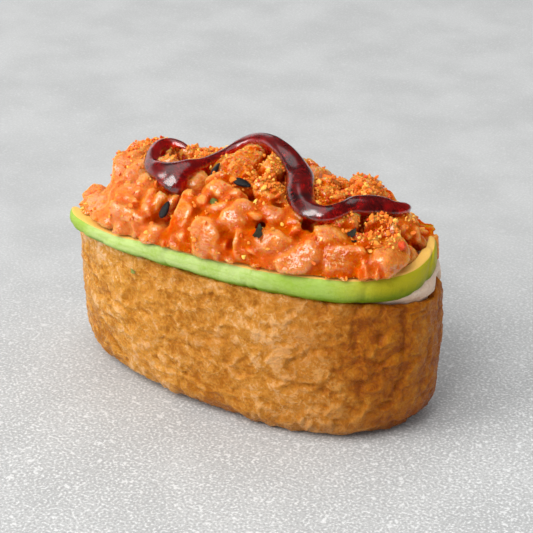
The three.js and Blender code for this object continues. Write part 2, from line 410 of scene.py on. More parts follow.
def fused(skins: list[Skin], voxel: float, soften: int) -> Skin:
    """Overlapping closed skins run together into one.

    Args:
        skins: The skins.
        voxel: Side of the squares of the new skin, in millimetres.
        soften: How often its points are moved towards their neighbours.

    Returns:
        One skin of squares, without fields.
    """
    bare = Skin.joined([Skin(s.points, s.faces) for s in skins])
    mesh = bpy.data.meshes.new("fusing")
    mesh.from_pydata(bare.points.tolist(), [], bare.faces)
    blank = bpy.data.objects.new("fusing", mesh)
    bpy.context.scene.collection.objects.link(blank)
    remesh = blank.modifiers.new("fuse", "REMESH")
    remesh.mode = "VOXEL"
    remesh.voxel_size = voxel
    smooth = blank.modifiers.new("soften", "SMOOTH")
    smooth.iterations = soften
    done = blank.evaluated_get(bpy.context.evaluated_depsgraph_get()).to_mesh()
    points = np.empty(3 * len(done.vertices))
    done.vertices.foreach_get("co", points)
    corners = np.empty(len(done.loops), int)
    done.loops.foreach_get("vertex_index", corners)
    bpy.data.objects.remove(blank)
    bpy.data.meshes.remove(mesh)
    return Skin(points.reshape(-1, 3), corners.reshape(-1, 4).tolist()).largest()


def grid_normals(grid: np.ndarray) -> np.ndarray:
    """Outward normals of a grid of rings that run anticlockwise and upwards."""
    around = np.roll(grid, -1, axis=1) - np.roll(grid, 1, axis=1)
    return unit(np.cross(around, np.gradient(grid, axis=0)))


class Workshop:
    """Turns skins in millimetres into pieces of the part."""

    def __init__(self, middle: Vector) -> None:
        """Paints the finishes.

        Args:
            middle: Where the pouch's middle lies in the frame, in millimetres.
        """
        self.middle = np.array(middle, float)
        self.finishes = painted()
        self.made: list[bpy.types.Object] = []

    def piece(self, name: str, skin: Skin, slot: str, replaces: tuple[str, ...] = (),
              finish: str | None = None, smooth: bool = True) -> None:
        """Makes one piece, which rides on the part's only body.

        Args:
            name: The piece's name.
            skin: Its points, faces and values, in millimetres.
            slot: The name of its finish, unless finish is given.
            replaces: The CAD nodes that it stands for.
            finish: Its finish, if that isn't called like the slot.
            smooth: Whether its faces are shaded smooth.
        """
        mesh = bpy.data.meshes.new(name)
        mesh.from_pydata(((skin.points + self.middle) * MM).tolist(), [], skin.faces)
        mesh.update()
        for key, values in skin.fields.items():
            vector = values.ndim == 2
            kind = "FLOAT_VECTOR" if vector else "FLOAT"
            entry = mesh.attributes.new(key, kind, "POINT")
            entry.data.foreach_set("vector" if vector else "value",
                                   np.ascontiguousarray(values, np.float32).ravel())
        mesh.polygons.foreach_set("use_smooth", [smooth] * len(mesh.polygons))
        mesh.materials.append(self.finishes[finish or slot])
        made = bpy.data.objects.new(name, mesh)
        bpy.context.scene.collection.objects.link(made)
        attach(made, "root")
        if replaces:
            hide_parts(*replaces)
        self.made.append(made)
        log.info("%s: %d points, %d faces", name, len(skin.points), len(skin.faces))


class Ground:
    """Finds the surface of skins that loose things lie on."""

    def __init__(self, skins: list[Skin]) -> None:
        """Builds one search tree over several skins."""
        bare = Skin.joined([Skin(s.points, s.faces) for s in skins])
        self.tree = BVHTree.FromPolygons(bare.points.tolist(), bare.faces)

    def hit(self, start: np.ndarray, way: np.ndarray) -> Hit | None:
        """Where a straight line first meets the surface.

        Args:
            start: Where the line starts.
            way: Its direction.

        Returns:
            The point and the surface's normal towards the start, or None.
        """
        place, normal, _, _ = self.tree.ray_cast(Vector(start), Vector(way))
        if place is None:
            return None
        n = np.array(normal)
        return np.array(place), n if n @ way < 0 else -n


# ---------------------------------------------------------------- materials


class Bench:
    """Shorthand for wiring one node tree."""

    def __init__(self, tree: bpy.types.NodeTree) -> None:
        """Keeps the tree."""
        self.tree = tree

    def feed(self, socket: Socket, value: Value) -> None:
        """Links or sets an input.

        Args:
            socket: The input.
            value: Another node's output, or a number, colour or vector to set.
        """
        if isinstance(value, Socket):
            self.tree.links.new(value, socket)
        else:
            socket.default_value = (*value, 1) if socket.type == "RGBA" else value

    def add(self, kind: str, **inputs: object) -> bpy.types.Node:
        """Adds a node, makes its settings and feeds its inputs.

        Args:
            kind: The node's type name.
            inputs: By the name of a setting or an input, with _ for a space, or by _ and
                an input's number.

        Returns:
            The node.
        """
        node = self.tree.nodes.new(kind)
        for key, value in inputs.items():
            if hasattr(node, key):
                setattr(node, key, value)
        for key, value in inputs.items():
            if not hasattr(node, key):
                name = int(key[1:]) if key[0] == "_" else key.replace("_", " ")
                self.feed(node.inputs[name], value)
        return node

    def math(self, operation: str, a: Value, b: Value = 0.0, clamp: bool = False) -> Socket:
        """The result of an operation on one or two numbers."""
        node = self.add("ShaderNodeMath", operation=operation, use_clamp=clamp, _0=a, _1=b)
        return node.outputs[0]

    def total(self, *parts: tuple[Socket, float]) -> Socket:
        """The sum of numbers.

        Args:
            parts: Each number's socket and what it is multiplied by.

        Returns:
            The sum's socket.
        """
        scaled = [s if share == 1 else self.math("MULTIPLY", s, share) for s, share in parts]
        result = scaled[0]
        for part in scaled[1:]:
            result = self.math("ADD", result, part)
        return result

    def ramp(self, factor: Socket, low: float, high: float, a: float = 0.0,
             b: float = 1.0) -> Socket:
        """A number passed softly from one range to another.

        Args:
            factor: The number.
            low: Where the passage starts.
            high: Where it ends.
            a: The result up to low.
            b: The result from high.

        Returns:
            The result's socket.
        """
        node = self.add("ShaderNodeMapRange", interpolation_type="SMOOTHSTEP", _0=factor,
                        _1=low, _2=high, _3=a, _4=b)
        return node.outputs[0]

    def mix(self, factor: Value, a: Value, b: Value, blend: str = "MIX") -> Socket:
        """The colour between two colours."""
        return self.add("ShaderNodeMix", data_type="RGBA", blend_type=blend, _0=factor,
                        _6=a, _7=b).outputs[2]

    def between(self, factor: Value, a: Value, b: Value) -> Socket:
        """The number between two numbers."""
        return self.add("ShaderNodeMix", data_type="FLOAT", _0=factor, _2=a, _3=b).outputs[0]

    def noise(self, vector: Socket, scale: Value, detail: float, roughness: float = 0.5,
              distortion: Value = 0.0) -> Socket:
        """Adds a noise texture.

        Args:
            vector: The place that it is read at.
            scale: How many swells it has to the metre.
            detail: How many finer noises are added.
            roughness: How strong each of these is against the one before.
            distortion: How far its swells are bent.

        Returns:
            The socket of its value.
        """
        node = self.add("ShaderNodeTexNoise", Vector=vector, Scale=scale, Detail=detail,
                        Roughness=roughness, Distortion=distortion)
        return node.outputs["Fac"]

    def one_over(self, size: Value) -> Socket:
        """The scale that belongs to a size."""
        return self.math("DIVIDE", 1.0, size)


class Group(Enum):
    """The shader node groups that several finishes use."""

    MOTTLE = "mottle"
    STREAKS = "streaks"
    TONES = "three_tones"
    FILM = "wet_film"
    VEINS = "veins"


class Groups:
    """Builds each shader node group once."""

    KINDS = {"Vector": "Vector", "Deep": "Color", "Middle": "Color", "Pale": "Color",
             "Colour": "Color"}

    def __init__(self) -> None:
        """Builds all the groups."""
        self.trees = {
            Group.MOTTLE: self._mottle(),
            Group.STREAKS: self._streaks(),
            Group.TONES: self._tones(),
            Group.FILM: self._film(),
            Group.VEINS: self._veins(),
        }

    def _start(self, group: Group, takes: str, gives: str) -> tuple[Bench, Sockets, Sockets]:
        """An empty group with its sockets.

        Args:
            group: Which group it is.
            takes: Names of its inputs, apart by a space, with _ for a space in a name.
            gives: Names of its outputs.

        Returns:
            The bench, what comes into the group and what goes out of it.
        """
        tree = bpy.data.node_groups.new(group.value, "ShaderNodeTree")
        for names, way in ((takes, "INPUT"), (gives, "OUTPUT")):
            for name in names.split():
                tree.interface.new_socket(name.replace("_", " "), in_out=way,
                                          socket_type="NodeSocket" + self.KINDS.get(name, "Float"))
        bench = Bench(tree)
        return bench, bench.add("NodeGroupInput").outputs, bench.add("NodeGroupOutput").inputs

    def _mottle(self) -> bpy.types.NodeTree:
        """Soft patches with a fine grain on them, as a mask and as relief.

        Returns:
            The group's node tree.
        """
        bench, given, out = self._start(
            Group.MOTTLE, "Vector Patch_size Grain_size Grain_share", "Mask Grain")
        patch = bench.noise(given["Vector"], bench.one_over(given["Patch size"]), 4.0, 0.6, 0.4)
        grain = bench.noise(given["Vector"], bench.one_over(given["Grain size"]), 3.0, 0.65)
        grains = bench.ramp(grain, 0.3, 0.7)
        mask = bench.between(given["Grain share"], bench.ramp(patch, 0.3, 0.7), grains)
        bench.feed(out["Mask"], mask)
        bench.feed(out["Grain"], grains)
        return bench.tree

    def _streaks(self) -> bpy.types.NodeTree:
        """Fine fibres that run along the first axis.

        Returns:
            The group's node tree.
        """
        bench, given, out = self._start(
            Group.STREAKS, "Vector Width Length Waviness", "Mask Relief")
        thin = bench.one_over(given["Width"])
        long = bench.math("DIVIDE", thin, given["Length"])
        scale = bench.add("ShaderNodeCombineXYZ", X=long, Y=thin, Z=thin)
        drawn = bench.add("ShaderNodeVectorMath", operation="MULTIPLY", _0=given["Vector"],
                          _1=scale.outputs[0])
        fibre = bench.noise(drawn.outputs[0], 1.0, 2.5, 0.6, given["Waviness"])
        bench.feed(out["Mask"], bench.ramp(fibre, 0.46, 0.66))
        bench.feed(out["Relief"], fibre)
        return bench.tree

    def _tones(self) -> bpy.types.NodeTree:
        """Three colours by one mask.

        Returns:
            The group's node tree.
        """
        bench, given, out = self._start(Group.TONES, "Mask Deep Middle Pale", "Colour")
        dark = bench.mix(bench.ramp(given["Mask"], 0.0, 0.5), given["Deep"], given["Middle"])
        colour = bench.mix(bench.ramp(given["Mask"], 0.5, 1.0), dark, given["Pale"])
        bench.feed(out["Colour"], colour)
        return bench.tree

    def _film(self) -> bpy.types.NodeTree:
        """How rough a moist surface is from place to place.

        Returns:
            The group's node tree.
        """
        bench, given, out = self._start(Group.FILM, "Vector Size Wet Dry", "Roughness")
        drier = bench.ramp(bench.noise(given["Vector"], bench.one_over(given["Size"]), 2.0),
                           0.35, 0.65)
        bench.feed(out["Roughness"], bench.between(drier, given["Wet"], given["Dry"]))
        return bench.tree

    def _veins(self) -> bpy.types.NodeTree:
        """Thin curved lines.

        Returns:
            The group's node tree.
        """
        bench, given, out = self._start(Group.VEINS, "Vector Size Thickness", "Mask")
        noise = bench.noise(given["Vector"], bench.one_over(given["Size"]), 2.0, 0.5, 0.6)
        away = bench.math("ABSOLUTE", bench.math("SUBTRACT", noise, 0.5))
        share = bench.math("DIVIDE", away, given["Thickness"])
        bench.feed(out["Mask"], bench.math("SUBTRACT", 1.0, share, clamp=True))
        return bench.tree


@dataclass(frozen=True)
class Gloss:
    """Constant shader settings of one finish, with its depth of scattering in millimetres."""

    ior: float = 1.45
    specular: float = 0.5
    coat: float = 0.0
    coat_roughness: float = 0.1
    coat_ior: float = 1.34
    scatter: float = 0.0
    scatter_radius: Colour = (1.0, 0.4, 0.15)
    scatter_depth: float = 1.0
    transmission: float = 0.0


class Paint(Bench):
    """The bench of one material, with the groups at hand. Sizes on it are in metres."""

    def __init__(self, name: str, groups: Groups) -> None:
        """Starts an empty node material.

        Args:
            name: The material's name.
            groups: The node groups that it can place.
        """
        self.material = bpy.data.materials.new(name)
        self.material.use_nodes = True
        super().__init__(self.material.node_tree)
        self.tree.nodes.clear()
        self.groups = groups
        self.place = self.add("ShaderNodeTexCoord").outputs["Object"]
        self.out = self.add("ShaderNodeOutputMaterial")

    def attribute(self, name: str, output: str = "Fac") -> Socket:
        """A value that the mesh carries."""
        return self.add("ShaderNodeAttribute", attribute_name=name).outputs[output]

    def group(self, group: Group, **inputs: Value) -> Sockets:
        """Places a group and feeds its inputs, and gives its outputs."""
        tree = self.groups.trees[group]
        return self.add("ShaderNodeGroup", node_tree=tree, **inputs).outputs

    def mottle(self, patch: float, grain: float, share: float) -> Sockets:
        """Patches and grain by their sizes and the grain's share: a mask, and the grain."""
        return self.group(Group.MOTTLE, Vector=self.place, Patch_size=patch, Grain_size=grain,
                          Grain_share=share)

    def film(self, size: float, wet: float, dry: float) -> Socket:
        """The roughness of a moist surface, from wet to dry in patches of a size."""
        return self.group(Group.FILM, Vector=self.place, Size=size, Wet=wet, Dry=dry)[0]

    def tones(self, mask: Socket, deep: Colour, middle: Colour, pale: Colour) -> Socket:
        """Three colours by a mask."""
        return self.group(Group.TONES, Mask=mask, Deep=deep, Middle=middle, Pale=pale)[0]

    def bump(self, *layers: tuple[Socket, float]) -> Socket:
        """The normal of several heights on each other.

        Args:
            layers: Socket of a height from 0 to 1, and its depth in millimetres.

        Returns:
            The normal's socket.
        """
        normal = None
        for height, depth in layers:
            node = self.add("ShaderNodeBump", Strength=1.0, Distance=depth * MM, Height=height)
            if normal is not None:
                self.feed(node.inputs["Normal"], normal)
            normal = node.outputs["Normal"]
        return normal

    def surface(self, gloss: Gloss, colour: Socket, roughness: Value,
                normal: Socket | None = None, wave: Socket | None = None,
                wet: Socket | None = None) -> None:
        """Adds the surface shader and wires it to the material's output.

        Args:
            gloss: Its constant settings.
            colour: The base colour.
            roughness: The roughness.
            normal: The normal, if it has relief.
            wave: The normal of the film on it, if that has its own relief.
            wet: How much film lies on it, if that changes.
        """
        given = {"Base Color": colour, "Roughness": roughness, "IOR": gloss.ior,
                 "Specular IOR Level": gloss.specular, "Coat Weight": wet or gloss.coat,
                 "Coat Roughness": gloss.coat_roughness, "Coat IOR": gloss.coat_ior,
                 "Subsurface Weight": gloss.scatter, "Subsurface Radius": gloss.scatter_radius,
                 "Subsurface Scale": gloss.scatter_depth * MM,
                 "Transmission Weight": gloss.transmission,
                 "Normal": normal, "Coat Normal": wave or normal}
        shader = self.add("ShaderNodeBsdfPrincipled")
        for name, value in given.items():
            if value is not None:
                self.feed(shader.inputs[name], value)
        self.feed(self.out.inputs["Surface"], shader.outputs[0])

    def absorb(self, colour: Colour, density: float) -> None:
        """Fills a see-through finish with something that swallows light.

        Args:
            colour: The colour that gets through best.
            density: How strongly it swallows the rest, per metre.
        """
        volume = self.add("ShaderNodeVolumeAbsorption", Color=colour, Density=density)
        self.feed(self.out.inputs["Volume"], volume.outputs[0])


class Finish(ABC):
    """A finish: its colours and settings, and how they are wired."""

    @abstractmethod
    def wire(self, paint: Paint) -> None:
        """Wires the finish.

        Args:
            paint: The bench of the finish's material.
        """


@dataclass(frozen=True)
class FriedTofu(Finish):
    """Golden brown fried skin, with painted shade: pale on its blisters, deeper in its creases."""

    deep: Colour = (0.40, 0.135, 0.003)
    middle: Colour = (0.585, 0.260, 0.036)
    pale: Colour = (0.75, 0.44, 0.205)
    oil: Colour = (0.52, 0.195, 0.014)
    # Painted shade: the right end, which faces away from the key light, and the creases are
    # multiplied by this tint.
    soaked: Colour = (0.60, 0.38, 0.025)
    gloss: Gloss = Gloss(ior=1.4, specular=0.12, coat=0.3, coat_roughness=0.14, scatter=0.15,
                         scatter_radius=(1.0, 0.4, 0.1), scatter_depth=1.2)

    def wire(self, paint: Paint) -> None:
        """Blisters painted pale and creases painted dark, oily patches, fine veins, and a darker
        right end by painted shade.

        Args:
            paint: The bench of the finish's material.
        """
        blotch, grain = paint.mottle(patch=0.0020, grain=0.0005, share=0.35)
        wide, _ = paint.mottle(patch=0.010, grain=0.002, share=0.25)
        veins = paint.group(Group.VEINS, Vector=paint.place, Size=0.003, Thickness=0.022)[0]
        # The relief's height paints the blisters paler and the creases darker: painted shade over
        # the skin's own mottled browning.
        mask = paint.total((paint.attribute("height"), 0.5), (blotch, 0.42), (wide, 0.08))
        mask = paint.total((paint.ramp(mask, 0.18, 0.80), 1), (veins, 0.3))
        colour = paint.tones(mask, self.deep, self.middle, self.pale)
        colour = paint.mix(paint.ramp(wide, 0.55, 0.9, 0.0, 0.3), colour, self.oil)
        # Painted shade multiplied in: darker towards the right end and a little in the creases.
        colour = paint.mix(paint.attribute("soak"), colour, self.soaked, "MULTIPLY")
        normal = paint.bump((grain, 0.07), (veins, 0.05))
        paint.surface(self.gloss, colour, paint.film(size=0.0009, wet=0.22, dry=0.58), normal)


@dataclass(frozen=True)
class CookedRice(Finish):
    """Sticky cream-white grains that light passes into."""

    deep: Colour = (0.50, 0.31, 0.20)
    middle: Colour = (0.66, 0.46, 0.33)
    pale: Colour = (0.78, 0.63, 0.49)
    gloss: Gloss = Gloss(ior=1.4, coat=0.3, coat_roughness=0.2, scatter=0.6,
                         scatter_radius=(1.0, 0.8, 0.55), scatter_depth=1.6)

    def wire(self, paint: Paint) -> None:
        """Each grain's own tone with mottling over it.

        Args:
            paint: The bench of the finish's material.
        """
        mottle, grain = paint.mottle(patch=0.003, grain=0.0006, share=0.35)
        mask = paint.total((mottle, 0.5), (paint.attribute("tone"), 0.5))
        colour = paint.tones(mask, self.deep, self.middle, self.pale)
        film = paint.film(size=0.0012, wet=0.25, dry=0.5)
        paint.surface(self.gloss, colour, film, paint.bump((grain, 0.04)))


@dataclass(frozen=True)
class AvocadoFlesh(Finish):
    """Green at the skin side, paler up the face, yellow on the cut top."""

    edge: Colour = (0.15, 0.27, 0.002)
    face: Colour = (0.43, 0.55, 0.190)
    face_deep: Colour = (0.25, 0.39, 0.020)
    # Painted shade: olive and yellow darken the slice's right end, which faces away from the key
    # light; yellow also tints its tip.
    olive: Colour = (0.14, 0.20, 0.001)
    yellow: Colour = (0.42, 0.37, 0.010)
    cut: Colour = (0.78, 0.46, 0.105)
    gloss: Gloss = Gloss(ior=1.4, specular=0.15, scatter=0.2,
                         scatter_radius=(0.7, 1.0, 0.3), scatter_depth=0.8)

    def wire(self, paint: Paint) -> None:
        """Streaked flesh over a greener lower edge, with painted shade: darker olive and yellow
        towards the slice's right end.

        Args:
            paint: The bench of the finish's material.
        """
        along = paint.attribute("along")
        mottle, grain = paint.mottle(patch=0.0035, grain=0.0005, share=0.35)
        streaks, fibres = paint.group(Group.STREAKS, Vector=paint.place, Width=0.0006,
                                      Length=7.0, Waviness=0.4)
        flesh: Value = self.face
        for share in (paint.ramp(mottle, 0.3, 1.0, 0.0, 0.5), paint.total((streaks, 0.3)),
                      paint.ramp(along, 0.13, 0.06, 0.0, 0.7),
                      paint.ramp(along, 0.48, 0.62, 0.0, 0.6)):
            flesh = paint.mix(share, flesh, self.face_deep)
        up = paint.total((mottle, 0.16), (paint.attribute("up"), 1))
        body = paint.mix(paint.ramp(up, 0.18, 0.52), self.edge, flesh)
        # Painted shade on the right end: darker olive below, yellow above.
        shaded_end = paint.mix(paint.ramp(up, 0.25, 0.78), self.olive, self.yellow)
        body = paint.mix(paint.ramp(along, 0.66, 0.80), body, shaded_end)
        body = paint.mix(paint.ramp(along, 0.90, 0.99, 0.0, 0.8), body, self.yellow)
        colour = paint.mix(paint.ramp(paint.attribute("cut"), 0.35, 0.75), body, self.cut)
        film = paint.film(size=0.002, wet=0.32, dry=0.5)
        paint.surface(self.gloss, colour, film, paint.bump((grain, 0.04), (fibres, 0.05)))


@dataclass(frozen=True)
class RawSalmon(Finish):
    """Wet diced salmon: fibres along each dice, with painted light on edges, tops and the left
    end, and deep red painted shade in cracks, between dice and in hollows.
    """

    # Painted shade: gap fills the cracks, and deep, which is also a random tone, lies between dice
    # and in hollows.
    gap: Colour = (0.50, 0.032, 0.0001)
    deep: Colour = (0.54, 0.060, 0.0001)
    middle: Colour = (0.55, 0.100, 0.0003)
    pale: Colour = (0.57, 0.150, 0.022)
    amber: Colour = (0.57, 0.145, 0.0003)
    # edge is the fibres' own paler colour, and painted light where the dice's edges glow.
    edge: Colour = (0.70, 0.29, 0.060)
    # Painted light: the heap's left end, which faces the key light, is made paler with this
    # colour; dice of high tone get a little of it.
    lit_pale: Colour = (0.70, 0.235, 0.060)
    gloss: Gloss = Gloss(ior=1.36, specular=0.0, coat_roughness=0.05, coat_ior=1.9,
                         scatter=1.0, scatter_radius=(1.0, 0.14, 0.04), scatter_depth=3.6)

    def wire(self, paint: Paint) -> None:
        """Colours by the dice's own values, painted light on tops, edges and the left end, painted
        shade in cracks, between dice and in hollows, and a film broken up by drops.

        Args:
            paint: The bench of the finish's material.
        """
        tone, opened = paint.attribute("tone"), paint.attribute("open")
        seam = paint.attribute("seam")
        inside = paint.math("SUBTRACT", 1.0, seam)
        mottle, grain = paint.mottle(patch=0.0026, grain=0.0006, share=0.4)
        drops, beads = paint.mottle(patch=0.0016, grain=0.0009, share=0.3)
        streaks, relief = paint.group(Group.STREAKS, Vector=paint.attribute("grain", "Vector"),
                                      Width=0.00045, Length=7.0, Waviness=1.2)
        # Painted light: the tops of the dice, which face the lamps, are made paler.
        lit_top = paint.ramp(paint.attribute("lit_top"), 0.55, 1.0, 0.0, 0.3)
        # Painted shade: darker where a point sees little of the outside.
        crack_shade = paint.ramp(opened, 0.78, 1.0, -0.1, 0.15)
        mask = paint.total((mottle, 0.5), (tone, 0.35), (lit_top, 1), (crack_shade, 1))
        colour = paint.tones(paint.ramp(mask, 0.40, 1.08), self.deep, self.middle, self.pale)
        fibre = paint.math("MULTIPLY", streaks, paint.total((inside, 0.5)))
        layers = ((paint.total((paint.attribute("hue"), 0.6)), self.amber),
                  (fibre, self.edge),
                  # Painted light: the dice's edges glow paler.
                  (paint.ramp(paint.attribute("rim"), 0.62, 1.0, 0.0, 0.6), self.edge),
                  # Painted shade in the cracks.
                  (paint.ramp(opened, 0.90, 0.50, 0.0, 0.95), self.gap),
                  # Painted shade between dice and in hollows.
                  (paint.ramp(seam, 0.0, 1.0, 0.0, 0.7), self.deep),
                  (paint.total((paint.attribute("deep"), 0.6)), self.deep),
                  # Painted light on the left end, and a little on dice of high tone.
                  (paint.ramp(tone, 0.7, 1.5, 0.0, 0.65), self.lit_pale))
        for share, layer in layers:
            colour = paint.mix(share, colour, layer)
        fibres = paint.math("MULTIPLY", relief, inside)
        wet = paint.math("MULTIPLY", paint.ramp(opened, 0.62, 0.92),
                         paint.ramp(beads, 0.26, 0.48))
        paint.surface(self.gloss, colour, paint.film(size=0.001, wet=0.25, dry=0.45),
                      normal=paint.bump((grain, 0.14), (fibres, 0.14)),
                      wave=paint.bump((drops, 0.10), (fibres, 0.05)),
                      wet=paint.math("MULTIPLY", wet, inside))


@dataclass(frozen=True)
class DeepSalmon(Finish):
    """The salmon in the middle of the heap, seen only through the dice."""

    red: Colour = (0.90, 0.16, 0.008)
    orange: Colour = (0.96, 0.34, 0.05)
    gloss: Gloss = Gloss(ior=1.33, specular=0.1)

    def wire(self, paint: Paint) -> None:
        """Red with softer patches, without a film.

        Args:
            paint: The bench of the finish's material.
        """
        mottle, _ = paint.mottle(patch=0.004, grain=0.0012, share=0.35)
        colour = paint.mix(paint.ramp(mottle, 0.3, 0.7), self.red, self.orange)
        paint.surface(self.gloss, colour, roughness=0.6)


@dataclass(frozen=True)
class DarkSauce(Finish):
    """Thick sweet soy glaze: nearly black in its depth, red where light gets through."""

    body: Colour = (0.74, 0.12, 0.030)
    thin: Colour = (0.84, 0.18, 0.050)
    absorbed: Colour = (0.92, 0.10, 0.01)
    density: float = 1080.0
    gloss: Gloss = Gloss(ior=1.38, specular=0.2, coat=1.0, coat_roughness=0.19, coat_ior=1.8,
                         transmission=1.0)

    def wire(self, paint: Paint) -> None:
        """See-through with a volume that swallows all but red.

        Args:
            paint: The bench of the finish's material.
        """
        mottle, _ = paint.mottle(patch=0.009, grain=0.005, share=0.2)
        colour = paint.mix(mottle, self.body, self.thin)
        paint.surface(self.gloss, colour, paint.film(size=0.004, wet=0.24, dry=0.30))
        paint.absorb(self.absorbed, self.density)


@dataclass(frozen=True)
class Spice(Finish):
    """Fine crumbs of chilli and roe spice, from yellow over orange to red."""

    red: Colour = (0.68, 0.045, 0.004)
    orange: Colour = (0.90, 0.23, 0.010)
    yellow: Colour = (0.98, 0.55, 0.09)
    gloss: Gloss = Gloss(ior=1.45, coat=0.2, coat_roughness=0.25, scatter=0.25,
                         scatter_radius=(1.0, 0.4, 0.1), scatter_depth=0.4)

    def wire(self, paint: Paint) -> None:
        """Each crumb's own tone with a little mottling.

        Args:
            paint: The bench of the finish's material.
        """
        mottle, grain = paint.mottle(patch=0.0006, grain=0.0002, share=0.4)
        mask = paint.total((paint.attribute("tone"), 1), (mottle, 0.2))
        colour = paint.tones(mask, self.red, self.orange, self.yellow)
        film = paint.film(size=0.0006, wet=0.3, dry=0.6)
        paint.surface(self.gloss, colour, film, paint.bump((grain, 0.04)))


@dataclass(frozen=True)
class BlackSesame(Finish):
    """Finely pitted black seed coat with a satin shine."""

    dark: Colour = (0.004, 0.004, 0.005)
    worn: Colour = (0.014, 0.012, 0.011)
    gloss: Gloss = Gloss(ior=1.4, specular=0.35, coat=0.15, coat_roughness=0.2)

    def wire(self, paint: Paint) -> None:
        """Black, a little paler where the coat is worn.

        Args:
            paint: The bench of the finish's material.
        """
        mottle, grain = paint.mottle(patch=0.0011, grain=0.00022, share=0.5)
        colour = paint.mix(mottle, self.dark, self.worn)
        film = paint.film(size=0.0008, wet=0.28, dry=0.5)
        paint.surface(self.gloss, colour, film, paint.bump((grain, 0.05)))


@dataclass(frozen=True)
class DriedHerb(Finish):
    """Crumpled green leaf and dark seaweed."""

    seaweed: Colour = (0.016, 0.012, 0.004)
    leaf: Colour = (0.09, 0.105, 0.018)
    fresh: Colour = (0.22, 0.26, 0.04)
    gloss: Gloss = Gloss(ior=1.45, specular=0.25, coat=0.05, coat_roughness=0.3)

    def wire(self, paint: Paint) -> None:
        """Each flake's own tone, from seaweed to fresh leaf, with mottling.

        Args:
            paint: The bench of the finish's material.
        """
        mottle, grain = paint.mottle(patch=0.0009, grain=0.0003, share=0.5)
        mask = paint.total((paint.attribute("tone"), 1), (mottle, 0.3))
        colour = paint.tones(mask, self.seaweed, self.leaf, self.fresh)
        film = paint.film(size=0.0006, wet=0.35, dry=0.6)
        paint.surface(self.gloss, colour, film, paint.bump((grain, 0.06)))


@dataclass(frozen=True)
class PaleFloor(Finish):
    """Grey stone with grit, specks and clouds, calmer away from the camera."""

    grey: Colour = (0.450, 0.454, 0.451)
    darkest: float = 0.76
    palest: float = 1.5
    backwards: Colour = (-0.506, 0.8625, 0.0)
    gloss: Gloss = Gloss(specular=0.15)

    def wire(self, paint: Paint) -> None:
        """Clouds first, then dark and pale grit and the larger specks on them.

        Args:
            paint: The bench of the finish's material.
        """
        darker = tuple(self.darkest * c for c in self.grey)
        paler = tuple(self.palest * c for c in self.grey)
        grit = paint.noise(paint.place, 2100.0, 3.0)
        speck = paint.noise(paint.place, 700.0, 2.0)
        cloud = paint.noise(paint.place, 60.0, 3.0)
        calm = paint.mix(paint.ramp(cloud, 0.3, 0.7, 0.5, 1.0), darker, self.grey)
        grain = paint.mix(paint.ramp(grit, 0.50, 0.68, 0.0, 0.9), calm, paler)
        grain = paint.mix(paint.ramp(grit, 0.48, 0.36, 0.0, 0.9), grain, darker)
        grain = paint.mix(paint.ramp(speck, 0.62, 0.68, 0.0, 0.7), grain, paler)
        away = paint.add("ShaderNodeVectorMath", operation="DOT_PRODUCT", _0=paint.place,
                         _1=self.backwards).outputs["Value"]
        colour = paint.mix(paint.ramp(away, -0.03, 0.07, 0.0, 0.8), grain, calm)
        paint.surface(self.gloss, colour, roughness=0.75)


def painted() -> dict[str, bpy.types.Material]:
    """Builds the node groups and then every finish.

    Returns:
        The materials by name.
    """
    groups = Groups()
    finishes = {"fried_tofu": FriedTofu, "sushi_rice": CookedRice, "avocado": AvocadoFlesh,
                "salmon": RawSalmon, "salmon_core": DeepSalmon, "dark_sauce": DarkSauce,
                "spice": Spice, "sesame": BlackSesame, "herb": DriedHerb,
                "pale_floor": PaleFloor}
    materials = {}
    for name, kind in finishes.items():
        paint = Paint(name, groups)
        kind().wire(paint)
        materials[name] = paint.material
    return materials


# ---------------------------------------------------------------- the pouch


